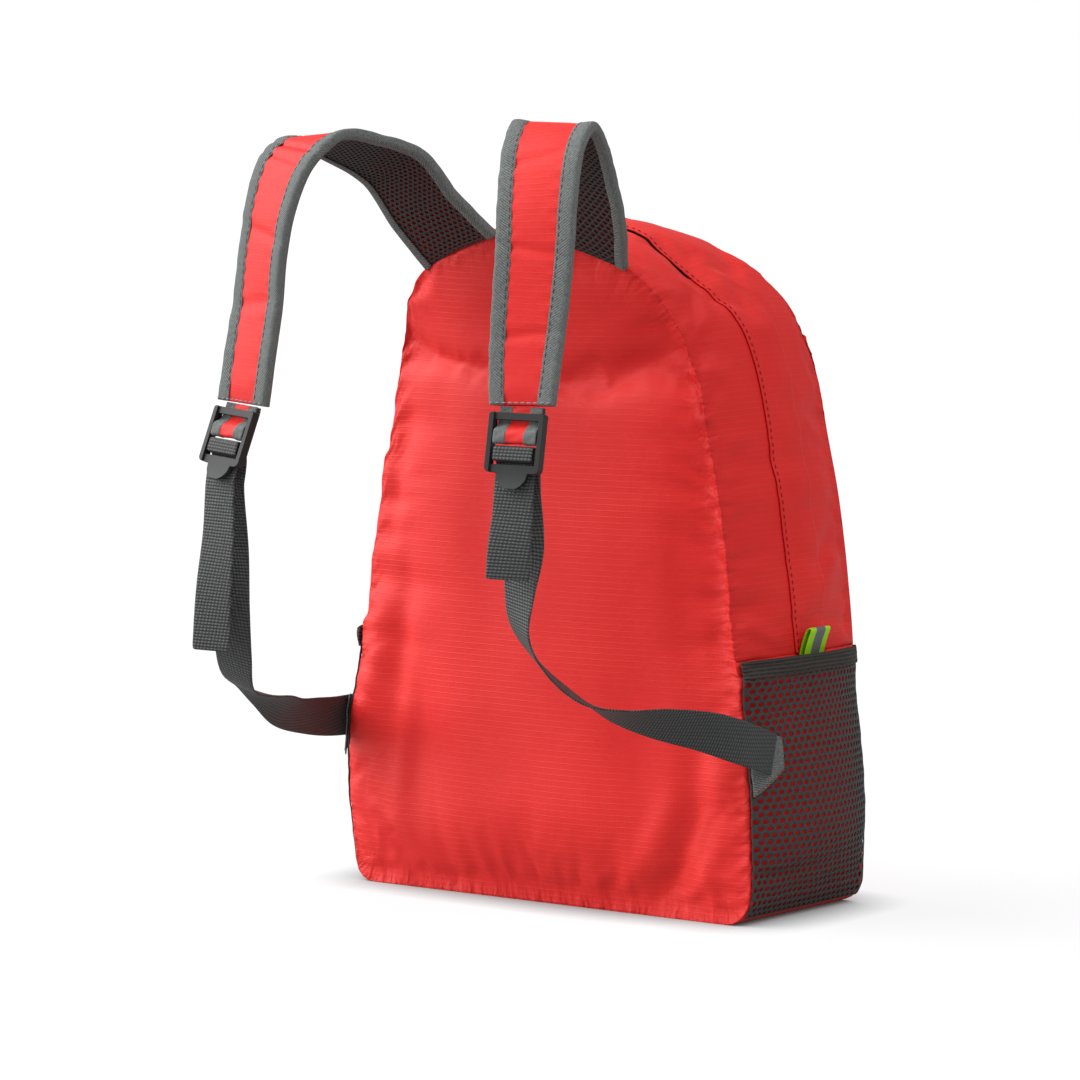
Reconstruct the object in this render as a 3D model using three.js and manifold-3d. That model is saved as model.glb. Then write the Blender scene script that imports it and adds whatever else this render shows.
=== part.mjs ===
// Packable backpack of thin ripstop cloth, standing on its base.
// Millimetres, +Z up, wearer's side facing -Y, origin at the middle of the base on the floor.
import * as THREE from "three";
import { mergeVertices } from "three/addons/utils/BufferGeometryUtils.js";
import Module from "manifold-3d";

const wasm = await Module();
wasm.setup();

// Bag body
const bagWidth = 291;
const bagDepth = 116;
const bagHeight = 392.5;
const cornerRadius = 16;
const clothWall = 1.5;
const seamGap = 0.45;
const layGap = 0.35;
const topLean = 26;
const backDome = 10;
const frontDome = 12;
const sideBulge = 4;
const gatherDepth = 1.4;

// Main zip with its rain flap, between the two gusset strips
const rearGussetWidth = 48;
const mainZipWidth = 20;
const flapWidth = 31;
const flapOverlap = 2;

// Side pockets of coarse net with an elastic hem
const sidePocketHeight = 151;
const sidePocketBulge = 13;
const netWall = 1.5;
const netStrand = 4.5;
const netColumns = 6;
const netRows = 6;
const elasticHeight = 10;
const elasticWall = 2;

// Loop tag behind the right-hand hem
const tagWidth = 20;
const tagRise = 15;
const tagTuck = 8;
const tagWall = 1;
const tagFold = 2.4;
const tagSlant = 5;

// Front pocket with an inverted-U zip
const frontPocketHeight = 194;
const frontPocketInset = 7;
const frontPocketCorner = 42;
const frontPocketPuff = 15;
const frontZipWidth = 8;
const frontZipLift = 5;
const frontZipLegEnd = 122;
const frontZipTaper = 14;
const sliderX = -78;
const sliderLength = 11;
const sliderWidth = 7;
const sliderHeight = 2.6;
const pullLength = 20;
const pullWidth = 5;
const pullWall = 1.2;

// Shoulder straps
const strapRootX = 0.158 * bagWidth;
const strapWidth = 60;
const strapSpread = 55;
const strapReach = 130;
const strapRise = 68;
const coverWall = 1;
const padWall = 2;
const plyGap = 0.45;
const bindingWall = 0.9;
const bindingWidth = 10;
const bindingUnder = 6;

// Ladder-lock buckles, measured down from their upper edge
const buckleWidth = 34;
const buckleGapBelowStrap = 4.5;
const buckleOffset = 3;
const frameBar = 4;
const midBarTop = 12.3;
const midBar = 3.2;
const lockBarTop = 20;
const lockBar = 5;
const plateTop = 28.5;
const plateHeight = 4.5;
const thumbTab = 9.5;
const thumbTabWidth = 19;
const railWidth = 3;
const railDepth = 5.2;
const barDepth = 2.6;
const endLoopWidth = 26.8;
const endLoopWall = 1.4;

// Webbing
const webWidth = 25.4;
const webWall = 1.5;
const anchorHeight = 97;
const anchorInset = 12;

// Triangular tab that holds the webbing in the side seam
const tabWall = 1.2;
const tabBase = 38;
const tabReach = 19;
const tabDrop = 4;

const black = new THREE.Color("#34393a");
const materials = {
  redCloth: new THREE.MeshStandardMaterial({ color: "#d8261f", roughness: 0.62, metalness: 0 }),
  binding: new THREE.MeshStandardMaterial({ color: "#41474a", roughness: 0.85, metalness: 0 }),
  webbing: new THREE.MeshStandardMaterial({ color: "#3b4143", roughness: 0.8, metalness: 0 }),
  net: new THREE.MeshStandardMaterial({ color: "#4a4f50", roughness: 0.85, metalness: 0 }),
  elastic: new THREE.MeshStandardMaterial({ color: "#37322f", roughness: 0.85, metalness: 0 }),
  zip: new THREE.MeshStandardMaterial({ color: "#3a3d3e", roughness: 0.8, metalness: 0 }),
  plastic: new THREE.MeshStandardMaterial({ color: black, roughness: 0.45, metalness: 0 }),
  neon: new THREE.MeshStandardMaterial({ color: "#b4f000", roughness: 0.7, metalness: 0 }),
};

// Half outline of the back panel above its rounded bottom corner:
// up is a share of bagHeight, out a share of half bagWidth.
const archTable = [
  { up: 0.153, out: 1.0 },
  { up: 0.247, out: 0.98 },
  { up: 0.306, out: 0.957 },
  { up: 0.369, out: 0.94 },
  { up: 0.448, out: 0.914 },
  { up: 0.522, out: 0.89 },
  { up: 0.611, out: 0.852 },
  { up: 0.701, out: 0.797 },
  { up: 0.785, out: 0.748 },
  { up: 0.864, out: 0.672 },
  { up: 0.912, out: 0.594 },
  { up: 0.945, out: 0.503 },
  { up: 0.968, out: 0.37 },
  { up: 0.986, out: 0.215 },
  { up: 1.0, out: 0.0 },
];

// Soft hollows and swells of the back panel: across is a share of half bagWidth, up of bagHeight,
// wide and tall are the reach of each as the same shares, deep a share of backDome (inward is positive),
// turn its slant in degrees.
const backDents = [
  { across: 0.62, up: 0.3, wide: 0.22, tall: 0.24, deep: 0.7, turn: -8 },
  { across: -0.55, up: 0.2, wide: 0.1, tall: 0.13, deep: 0.45, turn: 28 },
  { across: -0.78, up: 0.33, wide: 0.09, tall: 0.06, deep: 0.4, turn: 40 },
  { across: 0.7, up: 0.1, wide: 0.16, tall: 0.06, deep: 0.35, turn: 30 },
  { across: -0.2, up: 0.55, wide: 0.16, tall: 0.2, deep: 0.25, turn: 10 },
  { across: -0.45, up: 0.78, wide: 0.12, tall: 0.1, deep: 0.25, turn: -25 },
  { across: 0.1, up: 0.12, wide: 0.35, tall: 0.1, deep: -0.3, turn: 0 },
  { across: 0.72, up: 0.5, wide: 0.07, tall: 0.16, deep: 0.4, turn: 12 },
];

// Strap stations from the root to the bar tack: spread, reach and rise are shares of strapSpread,
// strapReach and strapRise, yaw and tilt turn the width direction in degrees, width is a share of strapWidth.
const strapTables = {
  right: [
    { spread: 0, reach: 0, rise: 0, yaw: 11, tilt: -20, width: 1.0 },
    { spread: 0.18, reach: 0.153, rise: 0.356, yaw: 8, tilt: -17, width: 0.985 },
    { spread: 0.318, reach: 0.276, rise: 0.688, yaw: 7, tilt: -12, width: 0.93 },
    { spread: 0.484, reach: 0.438, rise: 0.931, yaw: 9, tilt: -6, width: 0.885 },
    { spread: 0.682, reach: 0.616, rise: 1.02, yaw: 11, tilt: -1, width: 0.84 },
    { spread: 0.833, reach: 0.773, rise: 0.831, yaw: 12, tilt: 3, width: 0.82 },
    { spread: 0.933, reach: 0.866, rise: 0.462, yaw: 14, tilt: 5, width: 0.79 },
    { spread: 0.982, reach: 0.913, rise: 0.04, yaw: 16, tilt: 4, width: 0.762 },
    { spread: 0.987, reach: 0.945, rise: -0.382, yaw: 16, tilt: 3, width: 0.743 },
    { spread: 0.989, reach: 0.978, rise: -0.793, yaw: 13, tilt: 2, width: 0.718 },
    { spread: 1.007, reach: 1.01, rise: -1.19, yaw: 9, tilt: 2, width: 0.67 },
  ],
  left: [
    { spread: 0, reach: 0, rise: 0, yaw: 11, tilt: -20, width: 1.0 },
    { spread: 0.182, reach: 0.162, rise: 0.34, yaw: 12, tilt: -18, width: 0.963 },
    { spread: 0.313, reach: 0.296, rise: 0.671, yaw: 10, tilt: -17, width: 0.942 },
    { spread: 0.487, reach: 0.481, rise: 0.841, yaw: 8, tilt: -11, width: 0.907 },
    { spread: 0.676, reach: 0.667, rise: 0.926, yaw: 9, tilt: -4, width: 0.88 },
    { spread: 0.769, reach: 0.809, rise: 0.75, yaw: 13, tilt: 2, width: 0.818 },
    { spread: 0.84, reach: 0.883, rise: 0.394, yaw: 17, tilt: 4, width: 0.792 },
    { spread: 0.887, reach: 0.918, rise: -0.019, yaw: 18, tilt: 4, width: 0.768 },
    { spread: 0.916, reach: 0.939, rise: -0.435, yaw: 15, tilt: 4, width: 0.742 },
    { spread: 0.958, reach: 0.97, rise: -0.85, yaw: 11, tilt: 3, width: 0.703 },
    { spread: 0.998, reach: 0.998, rise: -1.27, yaw: 8, tilt: 2, width: 0.678 },
  ],
};

// How each buckle hangs, in degrees: forward tips its foot to -Y, outward away from the middle.
const buckleHang = {
  right: { forward: 11, outward: 1, yaw: 9 },
  left: { forward: 19, outward: 7, yaw: 7 },
};

// Load run of each webbing from behind the buckle to the side seam: across, back and down are shares
// of the way between the two ends along X, Y and Z, yaw and tilt turn the width direction in degrees.
const loadTables = {
  right: [
    { across: 0.05, back: 0.0, down: 0.19, yaw: 6, tilt: 0 },
    { across: -0.02, back: 0.0, down: 0.345, yaw: -10, tilt: -8 },
    { across: -0.06, back: 0.02, down: 0.49, yaw: -28, tilt: -12 },
    { across: 0.01, back: 0.12, down: 0.63, yaw: -39, tilt: -13 },
    { across: 0.2, back: 0.235, down: 0.74, yaw: -40, tilt: -8 },
    { across: 0.45, back: 0.35, down: 0.805, yaw: -28, tilt: 20 },
    { across: 0.7, back: 0.48, down: 0.84, yaw: -11, tilt: 47 },
    { across: 0.93, back: 0.64, down: 0.88, yaw: 18, tilt: 63 },
    { across: 1.06, back: 0.81, down: 0.94, yaw: 73, tilt: 74 },
  ],
  left: [
    { across: -0.04, back: 0.0, down: 0.24, yaw: -2, tilt: 2 },
    { across: -0.05, back: -0.01, down: 0.45, yaw: 7, tilt: -2 },
    { across: 0.02, back: 0.02, down: 0.63, yaw: 11, tilt: -10 },
    { across: 0.16, back: 0.09, down: 0.755, yaw: 6, tilt: -21 },
    { across: 0.28, back: 0.22, down: 0.81, yaw: 12, tilt: -11 },
    { across: 0.43, back: 0.365, down: 0.865, yaw: 24, tilt: 15 },
    { across: 0.6, back: 0.51, down: 0.93, yaw: 34, tilt: 42 },
    { across: 0.74, back: 0.68, down: 0.965, yaw: 40, tilt: 62 },
    { across: 0.9, back: 0.85, down: 0.99, yaw: 50, tilt: 76 },
  ],
};

// Free end of each webbing below the buckle: length hangs down, forward swings to -Y, yaw turns it.
const tailShape = {
  right: { length: 52, forward: 6, outward: 0, yaw: 26 },
  left: { length: 100, forward: 6, outward: 3, yaw: -12 },
};

const halfWidth = bagWidth / 2;
const halfDepth = bagDepth / 2;

function smoothStep(t) {
  const s = Math.min(Math.max(t, 0), 1);
  return s * s * (3 - 2 * s);
}

function mix(a, b, t) {
  return a + (b - a) * t;
}

function radians(degrees) {
  return (degrees * Math.PI) / 180;
}

// Rows of a table blended smoothly; t runs from 0 at the first row to 1 at the last.
function tableAt(rows, t) {
  const place = Math.min(Math.max(t, 0), 1) * (rows.length - 1);
  const i = Math.min(Math.floor(place), rows.length - 2);
  const s = place - i;
  const before = rows[Math.max(i - 1, 0)];
  const after = rows[Math.min(i + 2, rows.length - 1)];
  const blended = {};
  for (const key of Object.keys(rows[0])) {
    const p0 = before[key];
    const p1 = rows[i][key];
    const p2 = rows[i + 1][key];
    const p3 = after[key];
    const bend = 2 * p0 - 5 * p1 + 4 * p2 - p3;
    const twist = 3 * p1 - p0 - 3 * p2 + p3;
    blended[key] = 0.5 * (2 * p1 + (p2 - p0) * s + bend * s * s + twist * s * s * s);
  }
  return blended;
}

// Right half of the outline from the middle of the bottom to the middle of the top.
function halfOutline() {
  const points = [new THREE.Vector2(0, 0)];
  const arcSteps = 6;
  for (let i = 0; i <= arcSteps; i += 1) {
    const angle = (i / arcSteps) * (Math.PI / 2);
    const x = halfWidth - cornerRadius + cornerRadius * Math.sin(angle);
    points.push(new THREE.Vector2(x, cornerRadius - cornerRadius * Math.cos(angle)));
  }
  const knots = archTable.map((row) => new THREE.Vector3(row.out * halfWidth, 0, row.up * bagHeight));
  const beyond = knots[knots.length - 2].clone().setX(-knots[knots.length - 2].x);
  const side = new THREE.Vector3(halfWidth, 0, cornerRadius);
  const arch = new THREE.CatmullRomCurve3([side, ...knots, beyond], false, "centripetal");
  const spans = knots.length + 1;
  const stepsPerSpan = 6;
  const last = (spans - 1) * stepsPerSpan;
  for (let i = 1; i <= last; i += 1) {
    const p = arch.getPoint(i / (spans * stepsPerSpan));
    points.push(new THREE.Vector2(Math.max(p.x, 0), p.z));
  }
  return points;
}

const outline = halfOutline();
const outlineRun = [0];
for (let i = 1; i < outline.length; i += 1) {
  outlineRun.push(outlineRun[i - 1] + outline[i].distanceTo(outline[i - 1]));
}
const halfLength = outlineRun[outlineRun.length - 1];

// Point of the outline at run along it, with its outward normal; side is 1 right or -1 left.
function outlineAt(side, run) {
  const target = Math.min(Math.max(run, 0), halfLength);
  let i = 1;
  while (i < outlineRun.length - 1 && outlineRun[i] < target) i += 1;
  const t = (target - outlineRun[i - 1]) / (outlineRun[i] - outlineRun[i - 1]);
  const p = outline[i - 1].clone().lerp(outline[i], t);
  const back = outline[Math.max(i - 2, 0)];
  const ahead = outline[Math.min(i + 1, outline.length - 1)];
  const direction = outline[i].clone().sub(outline[i - 1]).normalize();
  const before = outline[i - 1].clone().sub(back);
  const after = ahead.clone().sub(outline[i]);
  const from = before.length() > 0 ? before.normalize().add(direction) : direction.clone();
  const to = after.length() > 0 ? after.normalize().add(direction) : direction.clone();
  const tangent = from.normalize().lerp(to.normalize(), t).normalize();
  return { x: side * p.x, z: p.y, nx: side * tangent.y, nz: -tangent.x };
}

function runAtHeight(height) {
  let i = 1;
  while (i < outline.length - 1 && outline[i].y < height) i += 1;
  const t = (height - outline[i - 1].y) / (outline[i].y - outline[i - 1].y);
  return mix(outlineRun[i - 1], outlineRun[i], Math.min(Math.max(t, 0), 1));
}

function halfWidthAt(height) {
  return outlineAt(1, runAtHeight(Math.max(height, cornerRadius))).x;
}

// The whole top of the bag leans towards the wearer.
function leanAt(height) {
  const start = 0.79 * bagHeight;
  const share = Math.max(height - start, 0) / (bagHeight - start);
  return -topLean * share * share;
}

// Share of the dome that a panel has at a place: nought along its seams.
function domeShare(x, z) {
  const width = halfWidthAt(z);
  const across = 1 - Math.pow(Math.min(Math.abs(x) / Math.max(width, 1), 1), 2.6);
  const top = 1 - Math.pow(Math.min(z / bagHeight, 1), 7);
  const foot = 1 - Math.pow(1 - Math.min(z / (0.16 * bagHeight), 1), 2);
  return across * top * foot;
}

function dentDepth(x, z) {
  let depth = 0;
  for (const dent of backDents) {
    const dx = (x - dent.across * halfWidth) / halfWidth;
    const dz = (z - dent.up * bagHeight) / bagHeight;
    const c = Math.cos(radians(dent.turn));
    const s = Math.sin(radians(dent.turn));
    const u = (dx * c + dz * s) / dent.wide;
    const v = (dz * c - dx * s) / dent.tall;
    depth += dent.deep * Math.exp(-u * u - v * v);
  }
  return depth;
}

const runBase = outlineRun[4];
const runHem = runAtHeight(sidePocketHeight);
const runShoulder = runAtHeight(0.84 * bagHeight);
const stepsPerRow = 2;
const baseSteps = 16;
const lowSteps = 6;
const upSteps = 8;

function spaced(from, to, steps) {
  return Array.from({ length: steps + 1 }, (_, i) => mix(from, to, i / steps));
}

const lowRuns = spaced(runBase, runHem, lowSteps);
const upRuns = spaced(runHem, runShoulder, upSteps);
const sideRuns = [...lowRuns, ...upRuns.slice(1)];
const crownRuns = spaced(0, 1, baseSteps).map((t) => {
  const side = t < 0.5 ? -1 : 1;
  return { side, run: mix(halfLength, runShoulder, Math.abs(2 * t - 1)) };
});
const footRuns = spaced(-1, 1, baseSteps).map((t) => ({ side: t < 0 ? -1 : 1, run: Math.abs(t) * runBase }));

// The stretch of the loop above the side pockets, from the right hem over the top to the left hem.
function archStations() {
  const right = upRuns.map((run) => ({ side: 1, run }));
  const crown = crownRuns.slice(1, -1).reverse();
  const left = upRuns.map((run) => ({ side: -1, run })).reverse();
  const stations = [...right, ...crown, ...left];
  stations[0] = { side: 1, run: runHem + layGap };
  stations[stations.length - 1] = { side: -1, run: runHem + layGap };
  return stations;
}

// Surface of the gusset loop, off being the distance outside it.
function gussetPoint(side, run, y, off) {
  const p = outlineAt(side, run);
  const depthShare = Math.min(Math.max((y + halfDepth) / bagDepth, 0), 1);
  const grown = smoothStep((run - runBase) / (0.12 * halfLength));
  const swell = sideBulge * Math.sin(Math.PI * depthShare) * grown;
  const upper = smoothStep((p.z / bagHeight - 0.45) / 0.2);
  const wave = Math.sin((run / halfLength) * Math.PI * 46) * Math.pow(1 - depthShare, 2) * depthShare * 6.75;
  const out = off + swell + gatherDepth * wave * upper;
  return new THREE.Vector3(p.x + p.nx * out, y + leanAt(p.z), p.z + p.nz * out);
}

// Closed solid between two matching grids of points, with the cells named by isHole left out.
function slab(outer, inner, isHole = () => false) {
  const rows = outer.length;
  const cols = outer[0].length;
  const points = [...outer.flat(), ...inner.flat()];
  const at = (layer, r, c) => layer * rows * cols + r * cols + c;
  const solid = (r, c) => r >= 0 && c >= 0 && r < rows - 1 && c < cols - 1 && !isHole(r, c);
  const faces = [];
  const quad = (a, b, c, d) => faces.push(a, b, c, a, c, d);
  for (let r = 0; r < rows - 1; r += 1) {
    for (let c = 0; c < cols - 1; c += 1) {
      if (!solid(r, c)) continue;
      quad(at(0, r, c), at(0, r, c + 1), at(0, r + 1, c + 1), at(0, r + 1, c));
      quad(at(1, r + 1, c + 1), at(1, r, c + 1), at(1, r, c), at(1, r + 1, c));
      if (!solid(r - 1, c)) quad(at(0, r, c + 1), at(0, r, c), at(1, r, c), at(1, r, c + 1));
      if (!solid(r + 1, c)) quad(at(0, r + 1, c), at(0, r + 1, c + 1), at(1, r + 1, c + 1), at(1, r + 1, c));
      if (!solid(r, c - 1)) quad(at(0, r, c), at(0, r + 1, c), at(1, r + 1, c), at(1, r, c));
      if (!solid(r, c + 1)) quad(at(0, r + 1, c + 1), at(0, r, c + 1), at(1, r, c + 1), at(1, r + 1, c + 1));
    }
  }
  return geometryOf(points, faces);
}

// Closed solid through matching rings of points, closed by flat caps cut like the section.
// Its sides split along the same diagonal as a slab's cells, so that plies stay parallel in a twist.
function sweep(rings, section) {
  const size = section.length;
  const points = rings.flat();
  const faces = [];
  for (let r = 0; r < rings.length - 1; r += 1) {
    for (let i = 0; i < size; i += 1) {
      const j = (i + 1) % size;
      const corners = [r * size + i, r * size + j, (r + 1) * size + j, (r + 1) * size + i];
      const first = section[j].x >= section[i].x ? 0 : 1;
      const [a, b, c, d] = [0, 1, 2, 3].map((k) => corners[(k + first) % 4]);
      faces.push(a, b, c, a, c, d);
    }
  }
  const last = (rings.length - 1) * size;
  const contour = THREE.ShapeUtils.isClockWise(section) ? section.slice().reverse() : section;
  const order = contour === section ? (i) => i : (i) => size - 1 - i;
  const ahead = contour === section ? 1 : -1;
  for (const [a, b, c] of THREE.ShapeUtils.triangulateShape(contour, [])) {
    const cap = [order(a), order(b), order(c)];
    const flipped = [cap[0], cap[2], cap[1]];
    faces.push(...(ahead > 0 ? flipped : cap));
    faces.push(...(ahead > 0 ? cap : flipped).map((i) => i + last));
  }
  return geometryOf(points, faces);
}

// Indexed geometry with its faces turned outward.
function geometryOf(points, faces) {
  let volume = 0;
  for (let i = 0; i < faces.length; i += 3) {
    const cross = points[faces[i + 1]].clone().cross(points[faces[i + 2]]);
    volume += points[faces[i]].dot(cross);
  }
  if (volume < 0) {
    for (let i = 0; i < faces.length; i += 3) {
      [faces[i + 1], faces[i + 2]] = [faces[i + 2], faces[i + 1]];
    }
  }
  const geometry = new THREE.BufferGeometry();
  geometry.setAttribute("position", new THREE.Float32BufferAttribute(points.flatMap((p) => p.toArray()), 3));
  geometry.setIndex(faces);
  geometry.computeVertexNormals();
  return geometry;
}

const group = new THREE.Group();

function addPiece(name, geometry, material) {
  const mesh = new THREE.Mesh(geometry, material);
  mesh.name = name;
  group.add(mesh);
}

// Grid filled in between four border lines that meet at their ends.
function coons(bottom, top, left, right) {
  const lastColumn = bottom.length - 1;
  const lastRow = left.length - 1;
  return left.map((leftPoint, r) => {
    const v = r / lastRow;
    return bottom.map((bottomPoint, c) => {
      const u = c / lastColumn;
      const blend = (key) => {
        const lines = mix(bottomPoint[key], top[c][key], v) + mix(leftPoint[key], right[r][key], u);
        const low = mix(bottom[0][key], bottom[lastColumn][key], u);
        const high = mix(top[0][key], top[lastColumn][key], u);
        return lines - mix(low, high, v);
      };
      return { x: blend("x"), z: blend("z") };
    });
  });
}

// Flat layout of a main panel, its border moved in from the seam.
function panelLayout(inset) {
  const move = ({ side, run }) => {
    const p = outlineAt(side, run);
    return { x: p.x - p.nx * inset, z: p.z - p.nz * inset };
  };
  const left = sideRuns.map((run) => move({ side: -1, run }));
  const right = sideRuns.map((run) => move({ side: 1, run }));
  return coons(footRuns.map(move), crownRuns.map(move), left, right);
}

function mainPanel(face, dome, dents) {
  const shell = panelLayout(0);
  const lining = panelLayout(clothWall);
  const raise = (p) => {
    const hollow = dents ? dentDepth(p.x, p.z) : 0;
    return face * (halfDepth + dome * domeShare(p.x, p.z) * (1 - hollow));
  };
  const outer = shell.map((row) => row.map((p) => new THREE.Vector3(p.x, raise(p) + leanAt(p.z), p.z)));
  const inner = lining.map((row, r) => row.map((p, c) => {
    const y = raise(shell[r][c]) - face * clothWall;
    return new THREE.Vector3(p.x, y + leanAt(shell[r][c].z), p.z);
  }));
  return slab(outer, inner);
}

// Strip of the loop between two depths; a seam end is mitred against the panel it is sewn to.
function loopStrip(stations, fromY, toY, columns, seamAtStart, seamAtEnd, lift = 0) {
  const start = seamAtStart ? fromY + seamGap : fromY;
  const end = seamAtEnd ? toY - seamGap : toY;
  const innerStart = seamAtStart ? start + clothWall : start;
  const innerEnd = seamAtEnd ? end - clothWall : end;
  const layer = (y0, y1, off) => stations.map(({ side, run }) => {
    return spaced(y0, y1, columns).map((y) => gussetPoint(side, run, y, off));
  });
  return slab(layer(start, end, lift), layer(innerStart, innerEnd, lift - clothWall));
}

function buildBody() {
  addPiece("back_panel", mainPanel(-1, backDome, true), materials.redCloth);
  addPiece("front_panel", mainPanel(1, frontDome, false), materials.redCloth);

  const foot = footRuns.map(({ side, run }) => ({ side, run: Math.min(run, runBase - layGap) }));
  addPiece("base_panel", loopStrip(foot, -halfDepth, halfDepth, 3, true, true), materials.redCloth);
  for (const [name, side] of [["left", -1], ["right", 1]]) {
    const low = lowRuns.map((run) => ({ side, run }));
    addPiece(`side_panel_${name}`, loopStrip(low, -halfDepth, halfDepth, 6, true, true), materials.redCloth);
  }

  const arch = archStations();
  const zipStart = -halfDepth + rearGussetWidth;
  const zipEnd = zipStart + mainZipWidth;
  addPiece("rear_gusset", loopStrip(arch, -halfDepth, zipStart, 3, true, false), materials.redCloth);
  addPiece("main_zip", loopStrip(arch, zipStart + layGap, zipEnd - layGap, 1, false, false), materials.zip);
  addPiece("front_gusset", loopStrip(arch, zipEnd, halfDepth, 2, false, true), materials.redCloth);
  const flapStart = zipStart - flapOverlap;
  const flapLift = clothWall + layGap;
  const flap = loopStrip(arch, flapStart, flapStart + flapWidth, 2, false, false, flapLift);
  addPiece("zip_flap", flap, materials.redCloth);
}

// Height above the side panel of the net's inner face.
function netLift(run, y) {
  const depthShare = Math.min(Math.max((y + halfDepth) / bagDepth, 0), 1);
  const grown = smoothStep((run - runBase) / (0.35 * (runHem - runBase)));
  const drawnIn = 1 - 0.2 * smoothStep((run - runBase) / (runHem - runBase));
  return layGap + sidePocketBulge * Math.pow(Math.sin(Math.PI * depthShare), 0.6) * grown * drawnIn;
}

// Grid lines with a strand on each side of every hole.
function strandLines(from, to, holes) {
  const hole = (to - from - (holes + 1) * netStrand) / holes;
  const lines = [];
  for (let i = 0; i <= holes; i += 1) {
    const edge = from + i * (hole + netStrand);
    lines.push(edge, edge + netStrand);
  }
  return lines;
}

function buildSidePockets() {
  const hemRun = runHem - elasticHeight;
  const edge = halfDepth - seamGap - layGap;
  const netRuns = strandLines(runBase + layGap, hemRun - layGap, netRows);
  const netDepths = strandLines(-edge, edge, netColumns);
  const hemRuns = spaced(hemRun, runHem, 2);
  const hemDepths = spaced(-edge, edge, 12);
  const layer = (side, runs, depths, off) => runs.map((run) => {
    return depths.map((y) => gussetPoint(side, run, y, netLift(run, y) + off));
  });
  for (const [name, side] of [["left", -1], ["right", 1]]) {
    const isHole = (r, c) => r % 2 === 1 && c % 2 === 1;
    const net = slab(layer(side, netRuns, netDepths, netWall), layer(side, netRuns, netDepths, 0), isHole);
    addPiece(`mesh_pocket_${name}`, net, materials.net);
    const hem = slab(layer(side, hemRuns, hemDepths, elasticWall), layer(side, hemRuns, hemDepths, 0));
    addPiece(`pocket_elastic_${name}`, hem, materials.elastic);
  }
}

// Folded webbing tag that stands out from behind the right-hand hem.
function buildLoopTag() {
  const root = runHem - tagTuck;
  const profile = [];
  const straight = tagTuck + tagRise - tagWall - tagFold / 2;
  const bendSteps = 6;
  for (const [radius, reverse] of [[tagFold / 2 + tagWall, false], [tagFold / 2, true]]) {
    const arc = [];
    for (let i = 0; i <= bendSteps; i += 1) {
      const angle = Math.PI * (i / bendSteps);
      const out = layGap + tagWall + tagFold / 2 - radius * Math.cos(angle);
      arc.push({ out, up: straight + radius * Math.sin(angle) });
    }
    const leg = [{ out: arc[0].out, up: 0 }, ...arc, { out: arc[bendSteps].out, up: 0 }];
    profile.push(...(reverse ? leg.reverse() : leg));
  }
  const section = profile.map(({ out, up }) => new THREE.Vector2(out, up));
  const rings = spaced(-tagWidth / 2, tagWidth / 2, 2).map((y) => profile.map(({ out, up }) => {
    const base = gussetPoint(1, root, y, out);
    const slant = tagSlant * Math.pow(up / (tagTuck + tagRise), 2);
    const share = Math.max(up - tagTuck, 0) / tagRise;
    return new THREE.Vector3(base.x + slant, base.y + share * 1.5, base.z + up);
  }));
  addPiece("loop_tag", sweep(rings, section), materials.neon);
}

// Outer face of the front panel.
function frontFace(x, z) {
  return halfDepth + frontDome * domeShare(x, z);
}

// Border of the front pocket from the foot of its left leg over the top to the right.
function pocketArch(inset, steps) {
  const side = (z) => halfWidthAt(z) - frontPocketInset - inset(z);
  const top = (share) => frontPocketHeight - inset(frontPocketHeight) * share;
  const cornerFoot = frontPocketHeight - frontPocketCorner;
  const leg = spaced(frontZipLegEnd, cornerFoot, 2).map((z) => ({ x: side(z), z }));
  const radius = frontPocketCorner - inset(cornerFoot);
  const centreX = side(cornerFoot) - radius;
  const corner = spaced(0, 90, 4).slice(1).map((angle) => ({
    x: centreX + radius * Math.cos(radians(angle)),
    z: cornerFoot + (top(1) - cornerFoot) * Math.sin(radians(angle)),
  }));
  const half = [...leg, ...corner];
  const flat = spaced(centreX, -centreX, steps).slice(1, -1).map((x) => ({ x, z: top(1) }));
  const mirrored = half.map(({ x, z }) => ({ x: -x, z }));
  return [...mirrored, ...flat.reverse(), ...half.slice().reverse()];
}

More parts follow.
